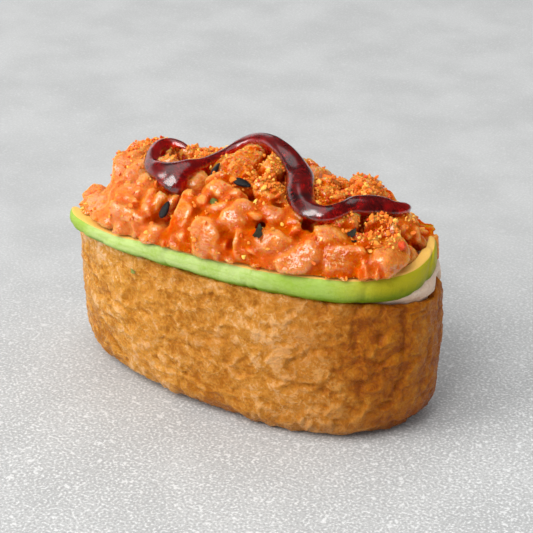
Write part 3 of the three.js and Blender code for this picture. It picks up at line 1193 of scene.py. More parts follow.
@dataclass
class TofuPouch:
    """The fried-tofu pouch: an open oval bag with a wrinkled, blistered skin."""

    length: float = 70.0
    width: float = 34.0
    height: float = 27.8
    power: float = 2.28
    wall: float = 1.6
    floor: float = 1.8
    edge_radius: float = 4.3
    lip_height: float = 0.8
    taper: float = 1.1
    belly: float = 0.9
    folds: float = 0.40
    lobes: float = 0.42
    wrinkles: float = 0.26
    pits: float = 0.26
    fine: float = 0.20
    pleats: float = 0.85
    puckers: float = 1.3
    wave: float = 0.55
    thinner_lip: float = 0.55
    rim: Stations = (
        (-60, 0), (-27, -0.5), (-17, -1.2), (-6, -1.9), (1.5, -2.3), (6.5, 0.2), (10.5, 0.2),
        (16, -2.5), (32, -2.8), (60, -1.4), (95, 0))
    foot: Stations = (
        (-140, 0), (-118, -0.4), (-104, 0.1), (-88, 0.8), (-74, 0.8), (-62, 0.6), (-45, 0),
        (-28, -0.7), (-14, -0.2), (-2, 0.3), (14, 0.6), (40, 0))
    around: int = 600
    seed: int = 7

    def outline(self, angle: np.ndarray, z: np.ndarray, inset: np.ndarray) -> np.ndarray:
        """Points of the smooth pouch.

        Args:
            angle: Angles round the pouch, in radians.
            z: Heights.
            inset: How far inwards from the outer skin.

        Returns:
            Points, with the arguments' common shape.
        """
        t = np.clip(z / self.height, 0, 1)
        out = -self.taper * (1 - t) + self.belly * np.sin(np.pi * t) - inset
        up = np.clip(self.edge_radius - z, 0, self.edge_radius)
        out = out - (self.edge_radius - np.sqrt(self.edge_radius**2 - up**2))
        xy = superellipse(angle, self.length / 2 + out, self.width / 2 + out, self.power)
        return np.stack([xy[..., 0], xy[..., 1], z + 0 * angle], axis=-1)

    def even_angles(self, count: int) -> np.ndarray:
        """Angles whose points on the mouth are evenly far apart.

        Args:
            count: How many angles.

        Returns:
            The angles, in radians.
        """
        fine = np.linspace(0, 2 * np.pi, 4001)
        ring = superellipse(fine, self.length / 2, self.width / 2, self.power)
        gone = np.r_[0, np.cumsum(np.linalg.norm(np.diff(ring, axis=0), axis=1))]
        return np.interp(np.linspace(0, gone[-1], count, endpoint=False), gone, fine)

    def _profile(self) -> np.ndarray:
        """The pouch's wall in section, from under the foot over the rim to inside.

        Returns:
            Height and inset of each ring.
        """
        r, lip_high = self.edge_radius, self.lip_height
        lip_foot = self.height - lip_high
        foot = [(0.0, inset) for inset in np.linspace(11, 0.4, 16)]
        fillet = [(r * (1 - math.cos(a)), 0.0) for a in np.linspace(0, np.pi / 2, 13)]
        wall = [(z, 0.0) for z in np.linspace(r, lip_foot, 72)[1:]]
        lip = [(lip_foot + lip_high * math.sin(a), self.wall / 2 * (1 - math.cos(a)))
               for a in np.linspace(0, np.pi, 15)[1:-1]]
        inside = [(z, self.wall) for z in np.linspace(lip_foot, 5, 16)]
        bottom = [(self.floor, self.wall + 0.5 + inset) for inset in (0.0, 4.0)]
        return np.array(foot + fillet + wall + lip + inside + bottom)

    def _relief(self, points: np.ndarray) -> np.ndarray:
        """How far the skin stands out, by folds, lobes, wrinkles, pits, pleats and puckers.

        Args:
            points: Points of the smooth pouch.

        Returns:
            Millimetres for each point.
        """
        noise = [Noise(self.seed + k) for k in range(8)]
        x, _, z = points.T
        drawn = points + 1.3 * np.stack(
            [noise[0].smooth(points + 31 * k, size=3.6) for k in range(3)], axis=1)
        folds = noise[1].smooth(points * (1, 1, 0.7), size=12)
        lobes = noise[2].creases(drawn, size=5.0) - 0.62
        wrinkles = (1 - np.abs(noise[3].smooth(drawn, size=2.4))) ** 4 - 0.3
        distance, kind = noise[4].cells(drawn, size=2.0)
        pits = (1 - ease(distance, 0.08, 0.62)) * (kind > 0.4)
        relief = (self.folds * folds + self.lobes * lobes + self.wrinkles * wrinkles
                  - self.pits * pits + self.fine * noise[5].fractal(drawn, size=1.3, octaves=2))
        pleats = noise[6].creases(points * (1, 1, 0.2) + 0.6 * folds[:, None], size=4.6) - 0.65
        relief += self.pleats * ease(x, 20, 33) * pleats
        low = 1 - ease(z, 1.0, 8.0)
        pucker, _ = noise[7].cells(points * (1, 1, 0.3), size=6.0)
        return relief - self.puckers * low * np.clip(pucker - 0.5, 0, 1)

    def turn(self, points: np.ndarray) -> np.ndarray:
        """Where points lie round the pouch, in degrees from its right end."""
        return np.degrees(np.arctan2(points[..., 1] / self.width, points[..., 0] / self.length))

    def build(self, shop: Workshop) -> Skin:
        """Builds the pouch and hands it over.

        Args:
            shop: Where pieces are made.

        Returns:
            The pouch's skin, for things that lie on it.
        """
        z, inset = self._profile().T[:, :, None]
        angle = self.even_angles(self.around)[None, :]
        grid = self.outline(angle, z, inset)
        normal = grid_normals(grid)
        shape, flat = grid.shape[:2], grid.reshape(-1, 3)
        inset = inset + 0 * angle
        height = self._relief(flat).reshape(shape)
        inner = ease(inset, 0.2, 1.4) * (z > self.edge_radius)
        foot = ease(inset, 0.0, 3.0) * (z < 0.2)
        stand = height * (1 - foot) * (1 - 0.75 * inner)
        grid = grid + normal * stand[..., None]
        mouth = ease(z + 0 * angle, self.height - 5, self.height)
        wave = Noise(self.seed + 5).fractal(grid.reshape(-1, 3) * (1, 1, 0), size=9, octaves=3)
        wave = wave.reshape(shape)
        turn = self.turn(grid)
        calm = 1 - 0.8 * ease(turn, -40, -15) * (1 - ease(turn, 60, 100))
        grid[..., 2] += mouth * (self.wave * calm * (wave - 0.1) + stations(self.rim, turn))
        thin = ease(turn, 1, 5) * (1 - ease(turn, 12, 17)) * mouth * inset / self.wall
        low = stations(self.foot, turn) * (1 - ease(z, 2, 16)) * (1 - foot)
        grid = grid + normal * (self.thinner_lip * thin + low)[..., None]
        edge = (1 - ease(inset, 0.0, 2.5)) * (z < 3)
        lifted = Noise(self.seed + 9).smooth(flat * (1, 1, 0), size=5.5).reshape(shape)
        grid[..., 2] += edge * self.puckers * np.clip(lifted - 0.3, 0, 1)
        grid[..., 2] = np.maximum(grid[..., 2], np.where(z > 0, 0.02, 0))
        # Painted shade by the relief's height, which the material reads as height: pale on
        # blisters, dark in creases.
        shade = np.clip(0.5 + 0.62 * height, 0, 1)
        # Painted shade: darker towards the right end, which faces away from the key light, and a
        # little darker in the creases.
        soak = 0.36 * ease(grid[..., 0], -22, 2) + 0.64 * ease(grid[..., 0], 4, 35)
        soak = np.clip(soak + 0.25 * (0.5 - shade), 0, 1)
        skin = loft(grid, height=shade, soak=soak)
        shop.piece("tofu_pouch_skin", skin, "fried_tofu", ("tofu_pouch",))
        return skin


# ----------------------------------------------------------------- the rice


@dataclass
class RiceFilling:
    """Rice packed into the pouch: grains over a core, proud of the mouth."""

    pouch: TofuPouch
    proud: float = 2.0
    end_proud: float = 1.4
    end_swell: float = 1.4
    edge_round: float = 2.2
    gap: float = 0.1
    grain_length: float = 5.0
    grain_width: float = 2.3
    rows: Stations = ((-3.2, 0.35), (-1.8, 0.35), (-0.3, 0.4), (1.0, 0.5), (2.1, 0.9),
                      (2.8, 2.2), (3.0, 4.2), (3.0, 6.4))
    core_floor: float = 2.6
    core_drop: float = 0.8
    core_inset: float = 0.9
    core_sides: int = 200
    grain_step: float = 0.72
    grain_sides: int = 10
    grain_sizes: tuple[float, float] = (0.85, 1.1)
    grain_lean: float = 0.6
    grain_shift: float = 0.12
    end_press: float = 0.9
    seed: int = 11

    @staticmethod
    def _end(angle: np.ndarray) -> np.ndarray:
        """1 where the rice is pressed smooth against the right end, 0 elsewhere."""
        return ease(np.cos(angle), 0.72, 0.93)

    def _shell(self, z: np.ndarray, inset: np.ndarray, angle: np.ndarray) -> np.ndarray:
        """Points on the filling's outer shape.

        Args:
            z: Heights.
            inset: How far inwards they are moved.
            angle: Angles round the pouch, in radians.

        Returns:
            The points.
        """
        end = self._end(angle)
        above = z - self.pouch.height
        share = np.clip(above / (self.proud + self.end_proud * end), 0, 1)
        round_in = self.edge_round * (1 + 0.3 * end) * (1 - np.sqrt(1 - share**2))
        flat = self.pouch.outline(angle, 0 * angle + self.pouch.height, 0.0)
        rim = stations(self.pouch.rim, self.pouch.turn(flat))
        swell = self.end_swell * end * ease(above - rim, -0.4, 1.4)
        ring = self.pouch.outline(angle, np.minimum(z, self.pouch.height) + 0 * angle,
                                  self.pouch.wall + self.gap + inset + round_in - swell)
        ring[..., 2] = z
        return ring

    def _core(self) -> Skin:
        """The closed body under the grains.

        Returns:
            Its skin.
        """
        angle = self.pouch.even_angles(self.core_sides)[None, :]
        end = self._end(angle)
        low, drop = self.core_floor, self.core_drop
        top = self.pouch.height + self.proud + (self.end_proud + drop) * end - drop
        side = []
        for share in np.r_[0.0, 0.05, np.linspace(0.1, 0.9, 18), np.linspace(0.92, 1, 7)]:
            z = low + (top - low) * share
            side.append(self._shell(z, self.core_inset * (1 - end), angle)[0])
        side += [side[-1] * (share, share, 1) for share in (0.85, 0.6, 0.3)]
        grid = np.array(side)
        lumps = Noise(self.seed).fractal(grid.reshape(-1, 3), size=2.4, octaves=2)
        lumps = lumps.reshape(grid.shape[:2]) * (1 - 0.85 * end)
        grid = grid + grid_normals(grid) * (0.3 * lumps)[..., None]
        return loft(grid, tone=0.35 + 0.3 * end + np.zeros(grid.shape[:2]))

    def _grain(self, rng: np.random.Generator) -> np.ndarray:
        """One grain round the origin, long on its first axis.

        Args:
            rng: Draws its size and bend.

        Returns:
            Its points, by ring and place.
        """
        angle = circle(self.grain_sides)[None, :]
        t = np.linspace(-0.985, 0.985, self.grain_sides)[:, None]
        half = self.grain_length / 2 * rng.uniform(*self.grain_sizes)
        wide = self.grain_width / 2 * rng.uniform(*self.grain_sizes)
        radius = wide * (1 - np.abs(t) ** 2.5) ** 0.5
        bend = rng.uniform(-0.35, 0.35) * (t**2 - 0.4)
        return np.stack([half * t + 0 * angle, radius * np.cos(angle) + bend,
                         0.7 * radius * np.sin(angle)], axis=-1)

    def build(self, shop: Workshop) -> None:
        """Builds the core and the grains and hands them over.

        Args:
            shop: Where pieces are made.
        """
        rng = np.random.default_rng(self.seed)
        shop.piece("rice_core", self._core(), "sushi_rice", ("rice",))
        half_length, half_width = self.pouch.length / 2, self.pouch.width / 2
        grains = []
        for above, inset in self.rows:
            ring_length = 1.6 * (self.pouch.length + self.pouch.width - 4 * inset)
            count = int(ring_length / (self.grain_step * self.grain_length))
            for k in range(count):
                angle = np.array([2 * np.pi * (k + rng.uniform(-0.3, 0.3)) / count])
                end = self._end(angle)
                top = self.pouch.height + self.proud + self.end_proud * end
                z = np.minimum(self.pouch.height + above, top - 0.3 + 0.3 * inset / 6)
                z = z - self.end_press * end
                depth = inset + 0.36 * self.grain_width + 0.7 * end
                here = self._shell(z, depth, angle)[0]
                beside = self._shell(z, depth, angle + 0.02)[0]
                flat = np.clip((z[0] - self.pouch.height) / (top[0] - self.pouch.height), 0, 1)
                outwards = unit(np.array([here[0] / half_length**2, here[1] / half_width**2, 0]))
                outwards = unit(outwards * (1.02 - flat**3) + np.array([0, 0, flat**3]))
                axes = axes_on(outwards, rng.normal(0, self.grain_lean), unit(beside - here))
                body = self._grain(rng)
                placed = body @ axes.T + here + rng.normal(0, self.grain_shift, 3)
                tone = np.full(body.shape[:2], rng.uniform(0.3, 1.0))
                grains.append(loft(placed, tone=tone))
        shop.piece("rice_grains", Skin.joined(grains), "sushi_rice")


# -------------------------------------------------------------- the avocado


@dataclass
class AvocadoSlice:
    """A long slice of avocado bent round one side of the mouth."""

    name: str
    node: str
    route: tuple[Triple, ...]
    heights: Stations
    outwards: int
    # How far along the slice its right end's painted shade reaches.
    end_shade_reach: float
    widths: Stations = ((0, 1),)
    width: float = 3.7
    tip_length: float = 5.0
    blunt: float = 0.015
    bulge: float = 0.5
    corner_power: float = 5.0
    steps: int = 240
    sides: int = 64
    seed: int = 23

    def build(self, shop: Workshop) -> Skin:
        """Builds the slice and hands it over.

        Args:
            shop: Where pieces are made.

        Returns:
            The slice's skin, for things that lie on it.
        """
        noise = Noise(self.seed)
        path = spline(np.array(self.route), self.steps)
        tangent = unit(np.gradient(path, axis=0))
        side = unit(np.stack([tangent[:, 1], -tangent[:, 0], 0 * tangent[:, 0]], axis=1))
        side = side * self.outwards
        gone = np.linspace(0, 1, self.steps)
        length = np.linalg.norm(np.diff(path, axis=0), axis=1).sum()
        reach = np.clip(np.minimum(gone, 1 - gone) * length / self.tip_length, 0, 1)
        full = np.sqrt(1 - (1 - reach) ** 2) * (1 - self.blunt) + self.blunt
        height = stations(self.heights, gone)
        angle = circle(self.sides)[None, :] + 0 * gone[:, None]
        slim = stations(self.widths, gone)
        side_step = (1 - slim) * self.width / 2
        half_wide = (self.width / 2 * full * slim)[:, None]
        half_high = (height / 2 * (0.4 + 0.6 * full) * np.minimum(1, full * 3))[:, None]
        uv = superellipse(angle, half_wide, half_high, self.corner_power)
        u, v = uv[..., 0], uv[..., 1]
        up = 0.5 + 0.5 * v / half_high
        bulge = np.where(u > 0, self.bulge * (1 - (v / half_high) ** 2), 0) * full[:, None]
        under = -self.bulge * full[:, None] * (1 - ease(up, 0.0, 0.35)) * (u > 0)
        path = path + side * side_step[:, None]
        grid = (path[:, None, :] + side[:, None, :] * (u + bulge + under)[..., None]
                + np.array([0, 0, 1.0]) * (v + (height / 2)[:, None])[..., None])
        flat = grid.reshape(-1, 3)
        wave = 0.14 * noise.smooth(flat, size=5) + 0.05 * noise.fractal(flat, size=1.4, octaves=2)
        bent = flat + 1.5 * noise.smooth(flat + 60, size=4)[:, None]
        wave -= 0.34 * (1 - np.abs(noise.smooth(bent * (0.6, 0.6, 1) + 30, size=5.5))) ** 12
        wave = wave.reshape(grid.shape[:2]) * full[:, None]
        grid = grid + unit(grid - grid.mean(axis=1, keepdims=True)) * wave[..., None]
        cut = ease(angle, 0.80, 0.98) * (1 - ease(angle, 3.6, 4.0))
        along = np.clip(gone * self.end_shade_reach, 0, 1)[:, None] + 0 * v
        skin = loft(grid if self.outwards > 0 else grid[:, ::-1], up=self._same(up),
                    along=self._same(along), cut=self._same(cut))
        shop.piece(self.name, skin, "avocado", (self.node,))
        return skin

    def _same(self, values: np.ndarray) -> np.ndarray:
        """Values in the order of the grid's points, which run back on the far slice."""
        return values if self.outwards > 0 else values[:, ::-1]


# --------------------------------------------------------------- the salmon


@dataclass(frozen=True)
class Dice:
    """One dice of salmon.

    Station is the place along the heap and over the angle from its near foot (0) over
    the crest (90) to its far foot (180). Size is its width, height and depth as seen
    from outside, turn its angle on the surface, tone from 0, deep orange, to 1, pale,
    hue from 0, pink, to 1, amber, and lift how far it stands out.
    """

    station: float
    over: float
    size: Triple
    turn: float
    tone: float
    hue: float
    lift: float


@dataclass
class SalmonHeap:
    """The heap: dice that stick together over a smaller, deep red core."""

    base: float = 30.1
    left: float = 34.2
    right: float = 34.0
    half_width: float = 15.0
    plan_power: float = 2.7
    section_power: float = 2.3
    crest: Stations = (
        (-34.6, 0.6), (-31.5, 1.8), (-28.0, 5.0), (-26.8, 10.0), (-24, 11.0), (-17, 10.9),
        (-9, 11.0), (-6, 12.4), (-3, 13.8), (0, 14.0), (3, 13.4), (7, 12.8), (11, 11.6),
        (20, 11.0), (24, 10.0), (27, 10.2), (30.5, 9.2), (34, 3.8))
    far_drop: Stations = (
        (-34, 0.3), (-24, 1.2), (-19, 2.0), (-15, 1.8), (-12, 1.0), (-9, 0), (-4, 0),
        (0, 0.8), (3, 1.4), (7, 2.3), (10, 2.6), (12, 2.2), (15, 0.8), (18, 0.0), (21, 3.0),
        (24, 3.8), (27, 3.0), (31, 3.2), (34, 4.2))
    overhang: Stations = (
        (-34, 0), (-30, 1.9), (-22, 2.6), (-15, 2.9), (20, 2.9), (26, 3.2), (31, 3.4), (34.5, 1.4))
    lip: float = 32.1
    lip_feet: tuple[float, float] = (10, 170)
    lip_stations: Triple = (-17.0, 25.5, 4.1)
    give: float = 0.6
    end_cut: Triple = (0.8625, 0.506, 25.3)
    end_high: float = 4.6
    end_top: tuple[float, float] = (5.0, 7.0)
    end_share: float = 0.9
    hollows: tuple[tuple[float, float, float, float], ...] = (
        (-3.4, 42, 3.0, 2.4), (-2.0, 27, 3.2, 2.6), (8.9, 24, 3.0, 2.4), (9.6, 12, 2.6, 2.2),
        (17.1, 6, 2.6, 1.8), (31.5, 22, 2.8, 2.0), (22.3, 38, 4.5, 2.8), (23.2, 52, 3.0, 1.5))
    closeness: float = 0.47
    tries: int = 5000
    bits: int = 190
    shreds: float = 0.45
    fineness: tuple[int, int] = (10, 5)
    tilt: float = 0.13
    skew: float = 0.14
    core_drop: float = 2.7
    sunk: float = 0.7
    lean: float = 0.16
    core_depth: float = 0.9
    core_grid: tuple[int, int] = (120, 80)
    core_inset: float = 2.4
    core_length: float = 0.95
    voxel: float = 0.31
    soften: int = 4
    crease: float = 0.3
    fibre_relief: float = 0.10
    rough_relief: float = 0.12
    # Painted light: how much paler the heap's left end is made, and the stations where it is full
    # and where it ends.
    lit_left_end: Triple = (0.75, -21, -6)
    sight: float = 3.6
    looks: int = 6
    seed: int = 9
    placed: tuple[Dice, ...] = (
        Dice(-28.9, 28, (8.6, 4.6, 4.8), 12, 0.60, 0.9, 0.4),
        Dice(-26.0, 15, (8.5, 7.5, 7.0), 14, 0.50, 0.7, 0.6),
        Dice(-23.4, 62, (5.0, 8.2, 6.8), 0, 0.65, 0.3, 0.8),
        Dice(-19.7, 67, (4.0, 6.6, 5.0), 6, 0.70, 0.1, 0.4),
        Dice(-19.8, 31, (5.4, 10.0, 5.0), -10, 0.75, 0.4, 0.4),
        Dice(-16.2, 13, (7.4, 7.4, 6.0), 8, 0.50, 0.3, 0.8),
        Dice(-15.2, 42, (5.4, 6.4, 5.0), 15, 0.25, 0.2, 0.1),
        Dice(-11.1, 46, (4.8, 5.0, 4.6), -10, 0.75, 0.0, 0.3),
        Dice(-10.9, 13, (4.3, 4.8, 4.6), 6, 0.95, 0.8, 1.0),
        Dice(-8.5, 9, (2.4, 2.6, 2.4), 0, 0.60, 1.0, 0.9),
        Dice(-7.2, 52, (3.9, 3.4, 4.0), 0, 0.80, 0.0, 0.6),
        Dice(-5.4, 33, (4.0, 5.8, 4.6), -4, 0.75, 0.9, 0.9),
        Dice(-5.9, 14, (4.4, 3.6, 4.6), 10, 0.35, 0.1, 0.4),
        Dice(-3.0, 51, (2.7, 3.4, 3.2), 0, 0.85, 0.3, 0.7),
        Dice(0.9, 36, (4.9, 4.4, 4.6), 15, 0.70, 0.8, 0.3),
        Dice(0.1, 16, (6.4, 7.2, 6.4), 2, 0.75, 0.4, 1.3),
        Dice(-2.9, 7, (2.2, 2.2, 2.4), 30, 0.80, 0.6, 1.0),
        Dice(5.0, 41, (5.6, 7.4, 5.6), -12, 0.80, 0.4, 0.8),
        Dice(7.5, 22, (3.4, 5.6, 4.2), 0, 0.35, 0.5, 0.3),
        Dice(0.6, 75, (8.0, 5.8, 5.4), -8, 0.30, 0.5, 0.4),
        Dice(13.1, 25, (7.6, 7.4, 5.8), 8, 0.85, 0.2, 1.0),
        Dice(13.2, 7, (5.8, 2.8, 4.0), 0, 0.50, 0.9, 0.6),
        Dice(12.1, 50, (5.2, 5.4, 5.0), 20, 0.75, 0.0, 0.2),
        Dice(18.5, 27, (5.4, 9.6, 4.6), -24, 1.00, 0.1, 1.1),
        Dice(21.6, 48, (4.4, 6.6, 3.6), -38, 0.70, 0.8, 1.1),
        Dice(25.2, 27, (9.0, 7.6, 5.0), 5, 0.15, 0.3, 0.0),
        Dice(29.6, 60, (7.6, 8.2, 5.6), -14, 0.75, 0.2, 0.7),
        Dice(30.7, 33, (3.2, 4.4, 3.2), 5, 0.85, 0.2, 1.2),
        Dice(29.8, 95, (4.8, 4.2, 4.4), 0, 0.45, 0.0, 0.5),
        Dice(31.3, 103, (3.8, 4.6, 4.0), 0, 0.40, 0.1, 0.4),
        Dice(26.0, 63, (4.6, 4.6, 4.4), 20, 0.30, 0.3, 0.1),
        Dice(7.3, 54, (3.2, 3.4, 3.4), 10, 0.60, 0.2, 0.4),
        Dice(27.2, 80, (3.6, 3.4, 3.4), 10, 0.50, 0.2, 0.3),
        Dice(-20.9, 95, (4.8, 4.0, 4.0), 0, 0.50, 0.3, 0.3),
        Dice(9.9, 32, (3.0, 4.4, 3.4), 0, 0.25, 0.2, -0.3),
        Dice(20.5, 7, (4.8, 2.8, 3.4), 0, 0.35, 0.6, 0.5),
        Dice(12.7, 66, (4.8, 4.4, 4.4), 15, 0.40, 0.2, 0.2),
        Dice(2.9, 8, (3.0, 2.2, 2.4), 0, 0.80, 0.6, 1.2),
        Dice(5.1, 13, (2.2, 2.2, 2.2), 0, 0.85, 0.9, 0.9),
    )

    def half(self, x: np.ndarray) -> np.ndarray:
        """Half the heap's width at stations along it."""
        rest = np.maximum(0, 1 - np.abs(x / self._reach(x)) ** self.plan_power)
        return self.half_width * rest ** (1 / self.plan_power) + stations(self.overhang, x)

    def _reach(self, x: np.ndarray) -> np.ndarray:
        """How far the heap reaches from its middle to the end that stations lie towards."""
        return np.where(np.asarray(x) < 0, self.left, self.right)

    def top(self, x: np.ndarray) -> np.ndarray:
        """Height of the crest above the base at stations along the heap."""
        rest = np.maximum(0, 1 - np.abs(x / self._reach(x)) ** 9)
        return stations(self.crest, x) * np.sqrt(rest)

    def point(self, x: np.ndarray, over: np.ndarray) -> np.ndarray:
        """Points on the smooth mound.

        Args:
            x: Stations along the heap.
            over: Angles over it, in radians.

        Returns:
            One point for each.
        """
        yz = superellipse(over, -self.half(x), self.top(x), self.section_power)
        drop = self._dropped(x, yz[..., 0]) * np.minimum(1, yz[..., 1] / 3)
        return np.stack([x + 0 * over, yz[..., 0], self.base + yz[..., 1] - drop], axis=-1)

    def _dropped(self, x: np.ndarray, y: np.ndarray) -> np.ndarray:
        """How much lower the far shoulder lies than the near one."""
        return stations(self.far_drop, x) * ease(y, 1, 9)

    def normal(self, x: float, over: float) -> np.ndarray:
        """The mound's outward direction at one place.

        Args:
            x: The place's station.
            over: Its angle over the heap, in radians.

        Returns:
            A direction of length 1.
        """
        step, turn = 0.05, 0.01
        along = self.spot(x + step, over) - self.spot(x - step, over)
        across = self.spot(x, over + turn) - self.spot(x, over - turn)
        return unit(np.cross(along, across))

    def spot(self, x: float, over: float) -> np.ndarray:
        """The mound's point at one station and angle."""
        return self.point(np.array(x), np.array(over))

    def inwards(self, points: np.ndarray) -> np.ndarray:
        """How far out points lie in the mound's sections.

        Args:
            points: The points.

        Returns:
            1 on the smooth surface and less inside, for each point.
        """
        x = np.clip(points[:, 0], -self.left * 0.97, self.right * 0.97)
        across = np.abs(points[:, 1]) / np.maximum(self.half(x), 0.1)
        high = np.maximum(points[:, 2] - self.base, 0)
        high = high + self._dropped(x, points[:, 1]) * np.minimum(1, high / 3)
        up = high / np.maximum(self.top(x), 0.1)
        power = self.section_power
        return (across**power + up**power) ** (1 / power)

    def _held(self, points: np.ndarray) -> np.ndarray:
        """Draws points back into the heap's outline and off the slices' outer sides.

        Args:
            points: The points.

        Returns:
            Their new places.
        """
        x = np.clip(points[:, 0], -self.left * 0.985, self.right * 0.985)
        out = np.stack([x, points[:, 1], points[:, 2]], axis=1)
        far = self.inwards(out)
        share = np.where(far > 1, (1 + self.give * (far - 1)) / np.maximum(far, 1), 1)
        out[:, 1] *= share
        out[:, 2] = np.where(out[:, 2] > self.base,
                             self.base + (out[:, 2] - self.base) * share, out[:, 2])
        over = self.lip + 0.04 * x
        room = self.half(x) - stations(self.overhang, x) - 0.3
        room = room + 4 * ease(out[:, 2], over - 0.5, over + 0.15)
        out[:, 1] = np.clip(out[:, 1], -room, room)
        low, high = self.end_top
        past = self._past(out)
        out[:, 0] -= self.end_share * past * ease(out[:, 2], self.base + low, self.base + high)
        past = self._past(out)
        proud = np.maximum(0, out[:, 2] - (self.base + self.end_high + 0.5 * past))
        out[:, 2] -= self.end_share * proud * ease(-past, 0.0, 0.9)
        return out

    def _past(self, points: np.ndarray) -> np.ndarray:
        """How far points lie past the cut at the left end, 0 or below."""
        a, b, c = self.end_cut
        return np.minimum(0, a * points[:, 0] + b * points[:, 1] + c)

    def _core(self) -> Skin:
        """The closed body under the dice, lower where the heap has a hollow.

        Returns:
            Its skin.
        """
        rows, columns = self.core_grid
        x = -np.cos(np.linspace(0.03, np.pi - 0.03, rows))
        x = np.where(x < 0, x * self.left, x * self.right)[:, None]
        over = np.linspace(0, 1, columns)[None, :]
        arc = self.point(x + 0 * over, over * np.pi)
        under = arc[:, 1:-1][:, ::-1].copy()
        under[..., 2] = self.base - 0.6
        grid = np.concatenate([arc, under], axis=1)
        middle = grid[..., 2] > self.base + 0.3
        across = np.abs(grid[..., 1])
        grid[..., 1] -= np.sign(grid[..., 1]) * np.minimum(self.core_inset, across / 2)
        grid[..., 0] *= self.core_length
        grid[..., 2] -= self.core_drop * ease(grid[..., 2], self.base, self.base + 5)
        for station, turn, radius, depth in self.hollows:
            away = np.linalg.norm(grid - self.spot(station, np.radians(turn)), axis=2) / radius
            inwards = -self.normal(station, math.radians(turn))
            grid = grid + (middle * depth * np.exp(-away**2))[..., None] * inwards
        return loft(grid[:, ::-1])

    def _cut(self, rng: np.random.Generator, dice: Dice, fineness: int) -> Skin:
        """One dice in its place on the mound, bounded by tilted cuts.

        Args:
            rng: Draws its unevenness.
            dice: Its size and place.
            fineness: Faces along each of its edges.

        Returns:
            Its skin.
        """
        cube, faces = cube_grid(fineness)
        way = unit(cube)
        half = np.array(dice.size) / 2
        sides = np.concatenate([np.eye(3), -np.eye(3)])
        sides = unit(sides + rng.normal(0, self.tilt, (6, 3)))
        reach = np.abs(sides) @ half * rng.uniform(0.86, 1.0, 6)
        chamfers = unit(rng.normal(size=(3, 3)))
        away = np.linalg.norm(chamfers * half, axis=1) * rng.uniform(0.92, 1.15, 3)
        planes = np.concatenate([sides / reach[:, None], chamfers / away[:, None]])
        sharp = rng.uniform(5, 10)
        nearness = (np.maximum(way @ planes.T, 1e-3) ** sharp).sum(axis=1, keepdims=True)
        body = way * nearness ** (-1 / sharp)
        dents = Noise(int(rng.integers(1 << 20)))
        uneven = 0.4 * dents.smooth(body, size=3.1) + 0.22 * dents.smooth(body, size=1.4)
        body += way * uneven[:, None]
        body += (body[:, [1, 2, 0]] * rng.normal(0, self.skew, 3)
                 + body[:, [2, 0, 1]] * rng.normal(0, self.skew, 3))
        axes, middle = self._stand(dice)
        points = self._held(body @ axes.T + middle)
        points[:, 2] = np.maximum(points[:, 2], self.base - 0.8 + 0.01 * points[:, 2])
        return Skin(points, faces)

    def _stand(self, dice: Dice) -> tuple[np.ndarray, np.ndarray]:
        """How a dice stands.

        Args:
            dice: The dice.

        Returns:
            Its own axes, as columns, and its middle.
        """
        over = math.radians(dice.over)
        own = np.random.default_rng([int(1000 * abs(dice.station)), int(100 * dice.over)])
        outwards = unit(self.normal(dice.station, over) + own.normal(0, self.lean, 3))
        axes = axes_on(outwards, math.radians(dice.turn))
        depth = 0.5 * dice.size[2] + self.sunk - dice.lift
        return axes, self.spot(dice.station, over) - axes[:, 2] * depth

    def _fill(self, rng: np.random.Generator) -> list[Dice]:
        """Dice for the rest of the mound, none too close to another.

        Args:
            rng: Draws them.

        Returns:
            The dice.
        """
        taken = [(self.spot(d.station, np.radians(d.over)), sum(d.size[:2]) / 2)
                 for d in self.placed]
        chosen: list[Dice] = []
        for _ in range(self.tries):
            x = rng.uniform(-self.left * 0.955, self.right * 0.955)
            over = rng.uniform(6, 174)
            here = self.spot(x, np.radians(over))
            size = rng.uniform(3.0, 7.6), rng.uniform(3.0, 7.4), rng.uniform(3.6, 6.0)
            wide = (size[0] + size[1]) / 2
            if min(np.linalg.norm(here - p) / (wide + w) for p, w in taken) < self.closeness:
                continue
            taken.append((here, wide))
            chosen.append(Dice(x, over, size, rng.uniform(-40, 40), rng.uniform(0.0, 1.0),
                               rng.uniform(0, 1), rng.uniform(-0.6, 1.2)))
        return chosen

    def _lip(self, rng: np.random.Generator) -> list[Dice]:
        """Small dice that hang over the slices' cut edges, in a row on each side.

        Args:
            rng: Draws them.

        Returns:
            The dice.
        """
        chosen = []
        for foot in self.lip_feet:
            for x in np.arange(*self.lip_stations):
                size = rng.uniform(3.0, 5.0), rng.uniform(2.6, 4.2), rng.uniform(3.4, 4.4)
                chosen.append(Dice(x + rng.normal(0, 0.5), foot + rng.normal(0, 1.2), size,
                                   rng.uniform(-25, 25), rng.uniform(0.3, 0.9),
                                   rng.uniform(0, 1), rng.uniform(0.3, 0.9)))
        return chosen

    def _bits(self, rng: np.random.Generator) -> list[Dice]:
        """Small shreds and crumbs of salmon between and on the dice.

        Args:
            rng: Draws them.

        Returns:
            The bits, as dice.
        """
        chosen = []
        for _ in range(self.bits):
            x = rng.uniform(-self.left * 0.93, self.right * 0.95)
            over = rng.uniform(12, 168)
            size = tuple(rng.uniform(1.3, 2.8, 3))
            if rng.random() < self.shreds:
                size = rng.uniform(3.0, 5.2), rng.uniform(0.9, 1.5), rng.uniform(1.0, 1.6)
            chosen.append(Dice(x, over, size, rng.uniform(0, 180), rng.uniform(0.3, 1.0),
                               rng.uniform(0, 1), rng.uniform(0.1, 0.8)))
        return chosen

